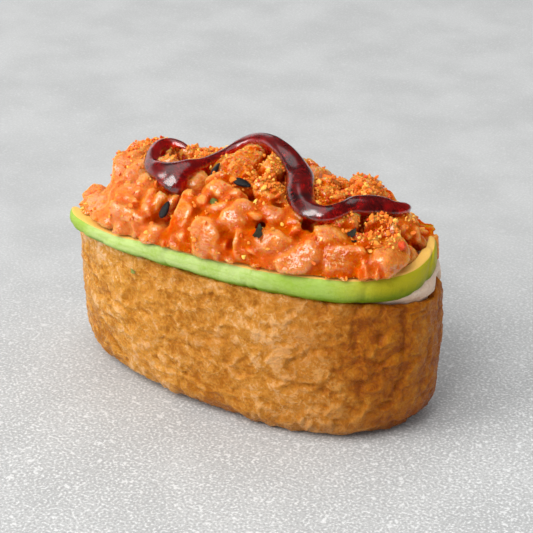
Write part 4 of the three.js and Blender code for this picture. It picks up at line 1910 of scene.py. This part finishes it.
    def _dressed(self, body: Skin, dice: list[Dice], skins: list[Skin]) -> Skin:
        """Gives the run-together body its relief and the values that its material reads.

        Args:
            body: The body.
            dice: The dice in it.
            skins: Each dice's skin before it ran together.

        Returns:
            The body.
        """
        tree = BVHTree.FromPolygons(np.vstack([s.points for s in skins]).tolist(),
                                    Skin.joined(skins).faces)
        owner = np.repeat(np.arange(len(skins)), [len(s.faces) for s in skins])
        mine = np.array([owner[tree.find_nearest(p)[2]] for p in body.points.tolist()])
        stands = [self._stand(d) for d in dice]
        axes = np.array([stand[0] for stand in stands])[mine]
        middles = np.array([stand[1] for stand in stands])[mine]
        own = np.einsum("nji,nj->ni", axes, body.points - middles)
        shift = np.random.default_rng(self.seed + 1).uniform(-90, 90, (len(dice), 3))[mine]
        noise = Noise(self.seed + 2)
        fibre = noise.fractal((own + shift) * (0.3, 1, 1), size=0.95, octaves=2)
        rough = noise.fractal(body.points, size=1.6, octaves=2)
        relief = self.fibre_relief * fibre + self.rough_relief * rough
        body.points = body.points + body.normals() * relief[:, None]
        looks = np.array([(d.tone, d.hue) for d in dice])[mine]
        # Painted light: the tone is raised towards the left end, which faces the key light.
        share, full, none = self.lit_left_end
        looks[:, 0] += share * (1 - ease(body.points[:, 0], full, none))
        looks = body.eased(looks, 4)
        # Where dice meet: creased inwards, and the material paints shade there.
        a, b = body.edges().T
        differ, count = mine[a] != mine[b], len(mine)
        seam = np.bincount(a, differ, count) + np.bincount(b, differ, count) > 0
        seam = np.clip(2 * body.eased(seam[:, None].astype(float), 5)[:, 0], 0, 1)
        body.points = body.points - body.normals() * (self.crease * seam)[:, None]
        # How far each point stands out; the material paints light on the edges by it.
        rim = body.eased(body.standing(10)[:, None], 1)[:, 0]
        high = np.array([d.size[2] / 2 for d in dice])[mine]
        body.fields = {
            "tone": looks[:, 0], "hue": looks[:, 1], "grain": (own + shift) * MM,
            "rim": np.clip(0.5 + rim / 0.3, 0, 1), "seam": seam,
            # How open each point is; the material paints shade in the cracks by it.
            "open": body.eased(self._open(body)[:, None], 2)[:, 0],
            # Painted light: 1 on each dice's top, which the material makes paler.
            "lit_top": np.clip(0.5 + 0.5 * own[:, 2] / high, 0, 1),
            # Painted shade: 1 where points lie deep in the heap's hollows.
            "deep": 1 - ease(self.inwards(body.points), 0.66, 0.88)}
        return body

    def _open(self, body: Skin) -> np.ndarray:
        """How much of the outside each point sees close by; the material paints shade in the
        cracks by it.

        Args:
            body: The dice run together.

        Returns:
            From 0, deep in a crack, to 1, for each point.
        """
        tree = BVHTree.FromPolygons(body.points.tolist(), body.faces)
        out = body.normals()
        side = unit(np.cross(out, (0.3, 0.5, 0.8)))
        other = np.cross(out, side)
        starts = (body.points + 0.1 * out).tolist()
        free = np.zeros(len(starts))
        for turn in circle(self.looks):
            ways = 0.6 * out + 0.8 * (np.cos(turn) * side + np.sin(turn) * other)
            hits = [tree.ray_cast(start, way, self.sight)[3]
                    for start, way in zip(starts, ways.tolist())]
            free += [1.0 if gone is None else gone / self.sight for gone in hits]
        return free / self.looks

    def build(self, shop: Workshop) -> Skin:
        """Builds the core and the dice and hands them over.

        Args:
            shop: Where pieces are made.

        Returns:
            The heap's skin, for things that lie on it.
        """
        draws = [np.random.default_rng([self.seed, step]) for step in range(4)]
        big = [*self.placed, *self._fill(draws[0]), *self._lip(draws[1])]
        small = self._bits(draws[2])
        skins = [self._cut(draws[3], dice, fineness)
                 for group, fineness in zip((big, small), self.fineness) for dice in group]
        log.info("%d dice and %d bits", len(big), len(small))
        core = self._core()
        body = fused([core, *skins], self.voxel, self.soften)
        body = self._dressed(body, big + small, skins)
        log.info("salmon of %d points", len(body.points))
        inner = Skin(core.points - self.core_depth * self._outwards(core), core.faces)
        shop.piece("salmon_core", inner, "salmon", finish="salmon_core")
        shop.piece("salmon_dice", body, "salmon", ("salmon_heap",))
        return body

    def _outwards(self, core: Skin) -> np.ndarray:
        """Directions from the heap's middle line to the core's points."""
        line = core.points * (0.8, 0, 0) + (0, 0, self.base + 2)
        return unit(core.points - line)


def cube_grid(fineness: int) -> tuple[np.ndarray, list[list[int]]]:
    """A cube of side 2 whose faces are divided into squares.

    Args:
        fineness: Squares along each edge.

    Returns:
        The points, each once, and the faces.
    """
    steps = np.tan(np.linspace(-1, 1, fineness + 1) * np.pi / 4)
    known: dict[tuple[float, ...], int] = {}
    faces = []
    for axis in range(3):
        for sign in (-1.0, 1.0):
            numbers = np.zeros((fineness + 1, fineness + 1), int)
            for (i, j), _ in np.ndenumerate(numbers):
                p = [0.0, 0.0, 0.0]
                p[axis], p[(axis + 1) % 3], p[(axis + 2) % 3] = sign, steps[i], steps[j]
                key = tuple(round(value, 5) for value in p)
                numbers[i, j] = known.setdefault(key, len(known))
            quads = np.stack([numbers[:-1, :-1], numbers[1:, :-1], numbers[1:, 1:],
                              numbers[:-1, 1:]], axis=-1).reshape(-1, 4)
            faces += (quads if sign > 0 else quads[:, ::-1]).tolist()
    return np.array(list(known)), faces


# ---------------------------------------------------------------- the sauce


@dataclass
class SauceRibbon:
    """The bead of sauce: a thick line of uneven width that follows the heap."""

    route: tuple[Triple, ...] = (
        (-15.2, 2.1, 0.6), (-17.5, 2.6, 0.8), (-19.2, 2.3, 0.95), (-20.1, 0.5, 1.05),
        (-19.5, -2.4, 1.1), (-18.3, -5.1, 1.15), (-16.8, -7.0, 1.4), (-15.0, -7.8, 1.8),
        (-13.2, -7.9, 2.2), (-11.7, -7.4, 2.4), (-10.4, -6.0, 1.9), (-9.3, -4.0, 1.3),
        (-8.6, -1.9, 1.0), (-8.0, 0.3, 1.0), (-7.2, 2.8, 1.1), (-5.8, 4.8, 1.3),
        (-3.6, 5.6, 1.55), (-0.7, 5.2, 1.65), (3.0, 3.5, 1.85), (6.0, 2.0, 2.0), (8.6, 0.0, 2.1),
        (10.3, -2.8, 2.1), (11.7, -5.2, 2.1), (13.4, -7.2, 2.0), (15.4, -8.4, 1.85),
        (17.4, -8.7, 1.7), (18.8, -7.9, 1.6), (19.5, -6.5, 1.5), (20.1, -4.8, 1.4),
        (21.0, -3.3, 1.8), (22.0, -2.1, 2.1), (23.1, -0.7, 2.1), (24.5, 0.4, 1.8),
        (25.9, 1.0, 1.5), (26.8, 2.2, 1.4), (27.3, 3.8, 1.0), (27.6, 5.0, 0.5))
    thickness: float = 1.75
    fullness: float = 1.2
    section_power: float = 1.5
    tip_length: float = 1.4
    steepest: float = 0.8
    rings: tuple[int, int] = (260, 26)
    sides: int = 28
    foot: float = 0.75
    height: float = 0.85
    lift: float = 0.2
    drip: tuple[Triple, ...] = (
        (-13.4, -7.3, 2.6), (-12.2, -7.9, 2.7), (-11.1, -8.6, 2.4), (-10.0, -9.3, 2.0),
        (-9.1, -9.9, 1.5), (-8.4, -10.4, 0.9))
    films: tuple[tuple[float, float, float, float], ...] = (
        (-17.2, -0.6, 2.6, 3.4), (-11.3, -6.6, 2.2, 1.8), (8.6, 0.6, 2.6, 2.2))
    film_rings: Stations = ((0.2, -0.9), (0.7, -0.9), (1.0, -0.5), (1.0, 0.0), (0.85, 0.22),
                            (0.6, 0.34), (0.3, 0.4))
    film_sides: int = 24
    voxel: float = 0.24
    soften: int = 18

    def build(self, shop: Workshop, ground: Ground) -> None:
        """Builds the ribbon and hands it over.

        Args:
            shop: Where pieces are made.
            ground: The salmon that it lies on.
        """
        parts = [self._bead(ground, route, count)
                 for route, count in zip((self.route, self.drip), self.rings)]
        parts += [self._film(ground, *film) for film in self.films]
        melted = fused(parts, self.voxel, self.soften)
        shop.piece("sauce_ribbon_bead", melted, "dark_sauce", ("sauce_ribbon",))

    def _bead(self, ground: Ground, route: tuple[Triple, ...], count: int) -> Skin:
        """A round-topped line of sauce laid along a route.

        Args:
            ground: What it lies on.
            route: Places from above and half the line's width there.
            count: How many rings it has.

        Returns:
            Its skin.
        """
        line = spline(np.array(route), count)
        plan, width = line[:, :2], line[:, 2] * self.fullness
        step = np.linalg.norm(np.gradient(plan, axis=0), axis=1)
        tangent = unit(np.gradient(plan, axis=0))
        side = np.stack([tangent[:, 1], -tangent[:, 0]], axis=1)
        edges = np.array([[self._floor(ground, p + w * self.foot * k * s) for k in (-1, 0, 1)]
                          for p, s, w in zip(plan, side, width)])
        span = min(24, count // 4)
        edges = np.stack([soft_line(highest(edge, 5), span) for edge in edges.T], axis=1)
        middle = np.maximum(edges[:, 1], edges.mean(axis=1))
        slope = (edges[:, 2] - edges[:, 0]) / (2 * self.foot * width)
        slope = soft_line(np.clip(slope, -self.steepest, self.steepest), span)
        gone = np.r_[0, np.cumsum(step[1:])]
        reach = np.clip(np.minimum(gone, gone[-1] - gone) / self.tip_length, 0.03, 1)
        wide = (width * np.sqrt(1 - (1 - reach) ** 2))[:, None]
        high = np.minimum(self.height * wide, self.thickness)
        across = unit(np.concatenate([side, slope[:, None]], axis=1))
        rise = np.gradient(middle) / step
        up = unit(np.cross(across, unit(np.concatenate([tangent, rise[:, None]], axis=1))))
        up = up * np.sign(up[:, 2:])
        angle = circle(self.sides)[None, :]
        section = superellipse(angle, wide, high, self.section_power)
        centre = np.concatenate([plan, middle[:, None]], axis=1) + up * self.lift * high
        return loft(centre[:, None, :] + across[:, None, :] * section[..., :1]
                    + up[:, None, :] * section[..., 1:])

    def _film(self, ground: Ground, x: float, y: float, long: float, wide: float) -> Skin:
        """A thin oval pool of sauce round one place.

        Args:
            ground: What it lies on.
            x: Its middle along the heap.
            y: Its middle across the heap.
            long: Half its length along the heap.
            wide: Half its width across the heap.

        Returns:
            Its skin.
        """
        angle = circle(self.film_sides)
        rings = []
        for share, lift in self.film_rings:
            ring = [(x + share * long * math.cos(a), y + share * wide * math.sin(a))
                    for a in angle]
            rings.append([(*p, self._floor(ground, np.array(p)) + lift) for p in ring])
        return loft(np.array(rings))

    @staticmethod
    def _floor(ground: Ground, place: np.ndarray) -> float:
        """The height of the salmon at one place."""
        hit = ground.hit(np.array([*place, ABOVE_HEAP]), np.array([0, 0, -1.0]))
        return hit[0][2] if hit else BARE_HEIGHT


def highest(values: np.ndarray, reach: int) -> np.ndarray:
    """The largest value within reach of each place in a row."""
    padded = np.pad(values, reach, mode="edge")
    return np.lib.stride_tricks.sliding_window_view(padded, 2 * reach + 1).max(axis=1)


def soft_line(values: np.ndarray, span: int) -> np.ndarray:
    """A row of values with its ups and downs evened out over a span."""
    kernel = np.exp(-np.linspace(-2, 2, 2 * span + 1) ** 2)
    return np.convolve(np.pad(values, span, mode="edge"), kernel / kernel.sum(), mode="valid")


# ----------------------------------------------------- seeds, spice and herbs


@dataclass
class Sprinkle:
    """Where a loose thing lies on the heap."""

    heap: SalmonHeap
    ground: Ground

    def land(self, x: float, over: float) -> Hit | None:
        """Where a thing lands.

        Args:
            x: The station that it is over.
            over: The angle that it is over, in degrees.

        Returns:
            The place and the surface's direction there, or None.
        """
        angle = math.radians(over)
        way = -self.heap.normal(x, angle)
        return self.ground.hit(self.heap.spot(x, angle) - 6 * way, way)


@dataclass
class SpiceCrumbs:
    """Crumbs of spice, thick along the crest and thin down the sides."""

    sprinkle: Sprinkle
    crest_count: int = 2300
    side_count: int = 420
    seed: int = 31
    astray: float = 0.3
    least: float = 0.09
    sizes: tuple[float, float] = (3.2, 0.042)
    coarse: tuple[float, float] = (0.12, 1.7)
    tones: tuple[float, float] = (0.42, 0.26)
    patches: tuple[Triple, ...] = (
        (-13.2, 92, 3.2), (-11.0, 104, 3.0), (-21.5, 100, 2.6), (3.9, 84, 3.4), (8.0, 78, 2.6),
        (13.8, 92, 3.0), (16.5, 102, 3.4), (19.5, 96, 3.2), (24.4, 86, 3.0), (27.0, 72, 2.4))

    def _places(self, rng: np.random.Generator) -> list[tuple[float, float]]:
        """Draws where the crumbs fall.

        Args:
            rng: Draws them.

        Returns:
            Station and angle in degrees of each crumb.
        """
        chosen = []
        for k in range(self.crest_count):
            x, over, spread = self.patches[k % len(self.patches)]
            if rng.random() < self.astray:
                chosen.append((rng.uniform(-26, 30), rng.normal(98, 22)))
            else:
                chosen.append((x + rng.normal(0, spread * 0.7), over + rng.normal(0, spread * 4)))
        for _ in range(self.side_count):
            chosen.append((rng.uniform(-31, 31), rng.uniform(8, 172)))
        return chosen

    def build(self, shop: Workshop) -> None:
        """Builds the crumbs and hands them over.

        Args:
            shop: Where pieces are made.
        """
        rng = np.random.default_rng(self.seed)
        landed = [hit for hit in (self.sprinkle.land(*p) for p in self._places(rng)) if hit]
        places, normals = np.array(landed).transpose(1, 0, 2)
        corners, faces = icosahedron()
        count, each = len(landed), len(corners)
        size = rng.gamma(*self.sizes, count) + self.least
        share, larger = self.coarse
        size *= np.where(rng.random(count) < share, larger, 1.0)
        shape = corners * (1 + rng.normal(0, 0.2, (count, each, 1)))
        shape = shape * (size[:, None] * rng.uniform(0.45, 1.3, (count, 3)))[:, None, :]
        turned = np.einsum("nij,nkj->nki", random_turns(rng, count), shape)
        points = turned + (places + normals * size[:, None] * 0.45)[:, None, :]
        tone = np.clip(rng.normal(*self.tones, count), 0, 1)
        numbers = (np.array(faces)[None] + each * np.arange(count)[:, None, None]).reshape(-1, 3)
        skin = Skin(points.reshape(-1, 3), numbers.tolist(), {"tone": np.repeat(tone, each)})
        shop.piece("spice_crumbs", skin, "spice", smooth=False)


def icosahedron() -> tuple[np.ndarray, list[list[int]]]:
    """A body of 20 triangles.

    Returns:
        Its corners, at distance 1, and its faces.
    """
    g = (1 + math.sqrt(5)) / 2
    corners = [(-1, g, 0), (1, g, 0), (-1, -g, 0), (1, -g, 0), (0, -1, g), (0, 1, g),
               (0, -1, -g), (0, 1, -g), (g, 0, -1), (g, 0, 1), (-g, 0, -1), (-g, 0, 1)]
    faces = [[0, 11, 5], [0, 5, 1], [0, 1, 7], [0, 7, 10], [0, 10, 11], [1, 5, 9], [5, 11, 4],
             [11, 10, 2], [10, 7, 6], [7, 1, 8], [3, 9, 4], [3, 4, 2], [3, 2, 6], [3, 6, 8],
             [3, 8, 9], [4, 9, 5], [2, 4, 11], [6, 2, 10], [8, 6, 7], [9, 8, 1]]
    return unit(np.array(corners, float)), faces


@dataclass
class SesameSeeds:
    """Black sesame seeds, pointed at one end."""

    sprinkle: Sprinkle
    length: float = 3.3
    width: float = 1.45
    thickness: float = 0.85
    rings: int = 26
    sides: int = 24
    placed: tuple[Triple, ...] = (
        (2.2, 66.0, 2), (-4.2, 73.0, 102), (-9.9, 39.0, 90), (-17.0, 147, 15),
        (-2.0, 157, 80), (9.0, 152, -35), (18.0, 163, 40), (25.0, 164, -10))
    seed: int = 41

    def build(self, shop: Workshop) -> None:
        """Builds the seeds and hands them over.

        Args:
            shop: Where pieces are made.
        """
        rng = np.random.default_rng(self.seed)
        noise = Noise(self.seed)
        angle = circle(self.sides)[None, :]
        t = np.linspace(-0.995, 0.995, self.rings)[:, None]
        seeds = []
        for x, over, turn in self.placed:
            hit = self.sprinkle.land(x, over)
            if not hit:
                continue
            full = np.sqrt(1 - t**2) * (1 - 0.26 * t) * rng.uniform(0.93, 1.07)
            body = np.stack([self.length / 2 * t + 0 * angle,
                             self.width / 2 * full * np.cos(angle),
                             self.thickness / 2 * full * np.sin(angle)], axis=-1)
            flat = body.reshape(-1, 3)
            pits = 0.05 * noise.fractal(flat + 40 * rng.random(), size=0.5, octaves=2)
            body = body + unit(flat).reshape(body.shape) * pits.reshape(body.shape[:2])[..., None]
            turned = axes_on(hit[1] + 3.0 * self.sprinkle.heap.normal(x, math.radians(over)),
                             math.radians(turn))
            seeds.append(loft(body @ turned.T + hit[0] + turned[:, 2] * self.thickness * 0.6))
        shop.piece("sesame_seeds", Skin.joined(seeds), "sesame")


@dataclass
class HerbFlakes:
    """Crumpled flakes of green herb and dark seaweed."""

    sprinkle: Sprinkle
    pouch_ground: Ground
    placed: tuple[tuple[float, float, float, float, float, float], ...] = (
        (-1.6, 48, 2.9, 1.2, 100, 0.55), (-16.0, 83, 1.8, 0.9, 20, 0.9),
        (-11.0, 108, 1.6, 0.8, 70, 0.9), (6.1, 84, 2.2, 1.5, 30, 0.35),
        (21.1, 106, 2.6, 1.3, 10, 0.5), (9.4, 103, 5.0, 1.8, 4, -0.3),
        (23.6, 60, 1.7, 1.2, 60, -0.3), (24.4, 54, 0.9, 0.9, 0, -0.3),
        (9.4, 36, 1.6, 2.5, 15, -0.1), (-20, 118, 2.2, 1.1, 50, 0.6), (-5, 140, 2.4, 1.5, 15, 0.1),
        (3, 125, 1.8, 0.9, 75, 0.7), (14, 135, 2.6, 1.4, 35, 0.3), (26, 130, 1.7, 1.0, 5, 0.8),
        (18, 70, 1.1, 0.5, 35, 0.8), (-7.5, 60, 1.0, 0.6, 5, 0.7))
    on_pouch: tuple[float, float] = (-15.4, 24.6)
    on_pouch_kind: tuple[float, float, float, float] = (1.3, 0.8, 10, 0.85)
    rings: Stations = ((0.3, 1), (0.62, 1), (0.86, 1), (1.0, 0.6))
    thickness: float = 0.16
    sides: int = 18
    seed: int = 53

    def _flake(self, rng: np.random.Generator, long: float, wide: float) -> np.ndarray:
        """One closed flake round the origin.

        Args:
            rng: Draws its jags and its curl.
            long: Its length.
            wide: Its width.

        Returns:
            Its points, by ring and place.
        """
        angle = circle(self.sides)[None, :]
        share, upper = np.array(self.rings).T[:, :, None]
        share, upper = np.r_[share, share[::-1]], np.r_[-upper, upper[::-1]]
        jag = (1 + 0.22 * np.sin(3 * angle + rng.uniform(0, 6))
               + 0.14 * np.sin(7 * angle + rng.uniform(0, 6)))
        x = long / 2 * share * jag * np.cos(angle)
        y = wide / 2 * share * jag * np.sin(angle)
        curl = rng.uniform(0.1, 0.25) * y**2 - rng.uniform(0.03, 0.1) * x**2
        crumple = 0.12 * np.sin(2.6 * x + rng.uniform(0, 6)) * np.cos(3.1 * y)
        return np.stack([x, y, curl + crumple + upper * self.thickness / 2], axis=-1)

    def build(self, shop: Workshop) -> None:
        """Builds the flakes and hands them over.

        Args:
            shop: Where pieces are made.
        """
        rng = np.random.default_rng(self.seed)
        landed = [(self.sprinkle.land(x, over), kind) for x, over, *kind in self.placed]
        x, z = self.on_pouch
        hit = self.pouch_ground.hit(np.array([x, BEFORE_POUCH, z]), np.array([0, 1.0, 0]))
        landed.append((hit, self.on_pouch_kind))
        flakes = [self._lay(rng, hit, *kind) for hit, kind in landed if hit]
        shop.piece("herb_flakes", Skin.joined(flakes), "herb")

    def _lay(self, rng: np.random.Generator, hit: Hit, long: float, wide: float, turn: float,
             tone: float) -> Skin:
        """Lays one flake on the surface.

        Args:
            rng: Draws its jags and its curl.
            hit: The place and the surface's direction there.
            long: Its length.
            wide: Its width.
            turn: Its angle on the surface, in degrees.
            tone: From 0, seaweed, to 1, fresh leaf.

        Returns:
            Its skin.
        """
        body = self._flake(rng, long, wide)
        turned = axes_on(hit[1], math.radians(turn))
        points = body @ turned.T + hit[0] + turned[:, 2] * 0.25
        return loft(points, tone=np.full(body.shape[:2], tone))


# --------------------------------------------------------------- the studio


@dataclass(frozen=True)
class Softbox:
    """One oblong light, with its place in degrees and metres and its power in watts."""

    name: str
    turn: float
    rise: float
    distance: float
    size: tuple[float, float]
    power: float
    tint: Colour
    diffuse: bool = True

    def hang(self, target: Vector, turn: float) -> None:
        """Hangs the light.

        Args:
            target: What it shines at.
            turn: The camera's own turn, which the light's turn is counted from.
        """
        lamp = bpy.data.lights.new(self.name, "AREA")
        lamp.shape = "RECTANGLE"
        lamp.size, lamp.size_y = self.size
        lamp.energy = self.power
        lamp.color = self.tint
        stand = bpy.data.objects.new(self.name, lamp)
        stand.visible_diffuse = self.diffuse
        look(stand, target, turn + self.turn, self.rise, self.distance)


def look(thing: bpy.types.Object, target: Vector, turn: float, rise: float,
         distance: float) -> None:
    """Puts a light or camera into the scene, looking at a target.

    Args:
        thing: The light or camera.
        target: What it looks at.
        turn: Where it stands round the target, in degrees, 0 towards -Y.
        rise: How high it stands, in degrees.
        distance: How far away it is, in metres.
    """
    a, e = math.radians(turn), math.radians(rise)
    back = Vector((math.sin(a) * math.cos(e), -math.cos(a) * math.cos(e), math.sin(e)))
    thing.location = target + back * distance
    thing.rotation_euler = back.to_track_quat("Z", "Y").to_euler()
    bpy.context.scene.collection.objects.link(thing)


@dataclass
class Studio:
    """A plain pale floor, soft light and the camera."""

    middle: np.ndarray
    material: bpy.types.Material
    camera_turn: float = 30.4
    camera_rise: float = 28.0
    camera_distance: float = 331.3
    aim: Triple = (-3.1, 8.9, 17.4)
    lens: float = 121.6
    sensor: float = 36.0
    floor_half: float = 2.5
    floor_steps: int = 8
    sky: float = 0.64
    mirrored_sky: float = 0.035
    sky_tint: Colour = (0.95, 0.97, 1.0)
    lights: tuple[Softbox, ...] = (
        Softbox("key_left", turn=-68, rise=38, distance=1.6, size=(0.75, 1.7), power=24,
                tint=(1.0, 0.985, 0.965)),
        Softbox("low_card", turn=-138, rise=10, distance=1.0, size=(1.6, 0.6), power=2.5,
                tint=(1.0, 0.88, 0.90), diffuse=False),
        Softbox("front", turn=-26, rise=50, distance=1.4, size=(0.45, 0.6), power=7,
                tint=(1.0, 0.985, 0.965)),
        Softbox("overhead", turn=-120, rise=80, distance=1.5, size=(1.5, 1.5), power=6,
                tint=(0.97, 0.985, 1.0)),
    )

    def _floor(self) -> None:
        """Makes the floor, a wide sheet."""
        row = self.floor_steps + 1
        axis = np.linspace(-self.floor_half, self.floor_half, row)
        points = [(x, y, 0.0) for y in axis for x in axis]
        corners = [r * row + c for r in range(row - 1) for c in range(row - 1)]
        mesh = bpy.data.meshes.new("floor")
        mesh.from_pydata(points, [], [[k, k + 1, k + row + 1, k + row] for k in corners])
        mesh.materials.append(self.material)
        floor = bpy.data.objects.new("floor", mesh)
        bpy.context.scene.collection.objects.link(floor)

    def _camera(self) -> None:
        """Sets up the camera."""
        data = bpy.data.cameras.new("camera")
        data.lens = self.lens
        data.sensor_width = self.sensor
        data.clip_start, data.clip_end = 0.01, 20
        camera = bpy.data.objects.new("camera", data)
        aim = Vector((self.middle + np.array(self.aim)) * MM)
        look(camera, aim, self.camera_turn, self.camera_rise, self.camera_distance * MM)
        bpy.context.scene.camera = camera

    def _world(self) -> None:
        """Makes the sky, which is dimmer in mirrors and coats."""
        world = bpy.data.worlds.new("studio")
        world.use_nodes = True
        bench = Bench(world.node_tree)
        background = world.node_tree.nodes["Background"]
        shine = bench.add("ShaderNodeLightPath").outputs["Is Glossy Ray"]
        bench.feed(background.inputs["Color"], self.sky_tint)
        bench.feed(background.inputs["Strength"],
                   bench.ramp(shine, 0.0, 1.0, self.sky, self.mirrored_sky))
        bpy.context.scene.world = world

    def build(self) -> None:
        """Builds the floor, the lights, the sky and the camera."""
        bpy.context.scene.view_settings.view_transform = "Standard"
        self._floor()
        target = Vector(self.middle * MM) + Vector((0, 0, 0.02))
        for light in self.lights:
            light.hang(target, self.camera_turn)
        self._world()
        self._camera()


# --------------------------------------------------------------------- main

POUCH_MIDDLE = (-0.456, 0.142, 0.0)

SLICES = (
    AvocadoSlice(
        name="avocado_near_slice", node="avocado_near", outwards=1, end_shade_reach=1.0,
        route=((-31.6, -9.6, 28.3), (-27.6, -12.4, 27.8), (-18, -14.7, 27.6), (-2, -15.5, 27.6),
               (14, -14.7, 27.8), (25.5, -11.6, 27.9), (31, -6.4, 27.8), (32.1, -0.6, 27.9),
               (30.7, 4.2, 28.3), (29.4, 6.6, 28.8)),
        heights=((0, 3.1), (0.16, 3.3), (0.3, 4.3), (0.55, 4.5), (0.7, 4.9), (0.82, 5.3),
                 (0.92, 5.7), (1, 5.6)),
        widths=((0, 0.6), (0.05, 0.7), (0.2, 1), (0.66, 1), (0.82, 0.62), (0.92, 0.62),
                (0.945, 0.40), (1, 0.40))),
    AvocadoSlice(
        name="avocado_far_slice", node="avocado_far", outwards=-1, end_shade_reach=0.7,
        route=((-27.5, 11.2, 28.7), (-21, 13.6, 28.3), (-8, 15.2, 28.2), (6, 15.2, 28.2),
               (19, 13.8, 28.3), (27.5, 10.4, 28.7)),
        heights=((0, 3.6), (0.5, 4.8), (1, 3.6))),
)


def main() -> None:
    """Builds every piece in order, from the pouch up, and then the studio."""
    logging.basicConfig(level=logging.INFO, format="%(name)s %(message)s")
    shop = Workshop(Vector(POUCH_MIDDLE))
    pouch = TofuPouch()
    pouch_skin = pouch.build(shop)
    RiceFilling(pouch).build(shop)
    slices = [piece.build(shop) for piece in SLICES]
    heap = SalmonHeap()
    ground = Ground([heap.build(shop)])
    SauceRibbon().build(shop, ground)
    sprinkle = Sprinkle(heap, ground)
    SpiceCrumbs(sprinkle).build(shop)
    SesameSeeds(sprinkle).build(shop)
    HerbFlakes(sprinkle, Ground([pouch_skin, *slices])).build(shop)
    Studio(shop.middle, shop.finishes["pale_floor"]).build()
    log.info("pieces: %s", ", ".join(piece.name for piece in shop.made))


if __name__ == "__main__":
    main()
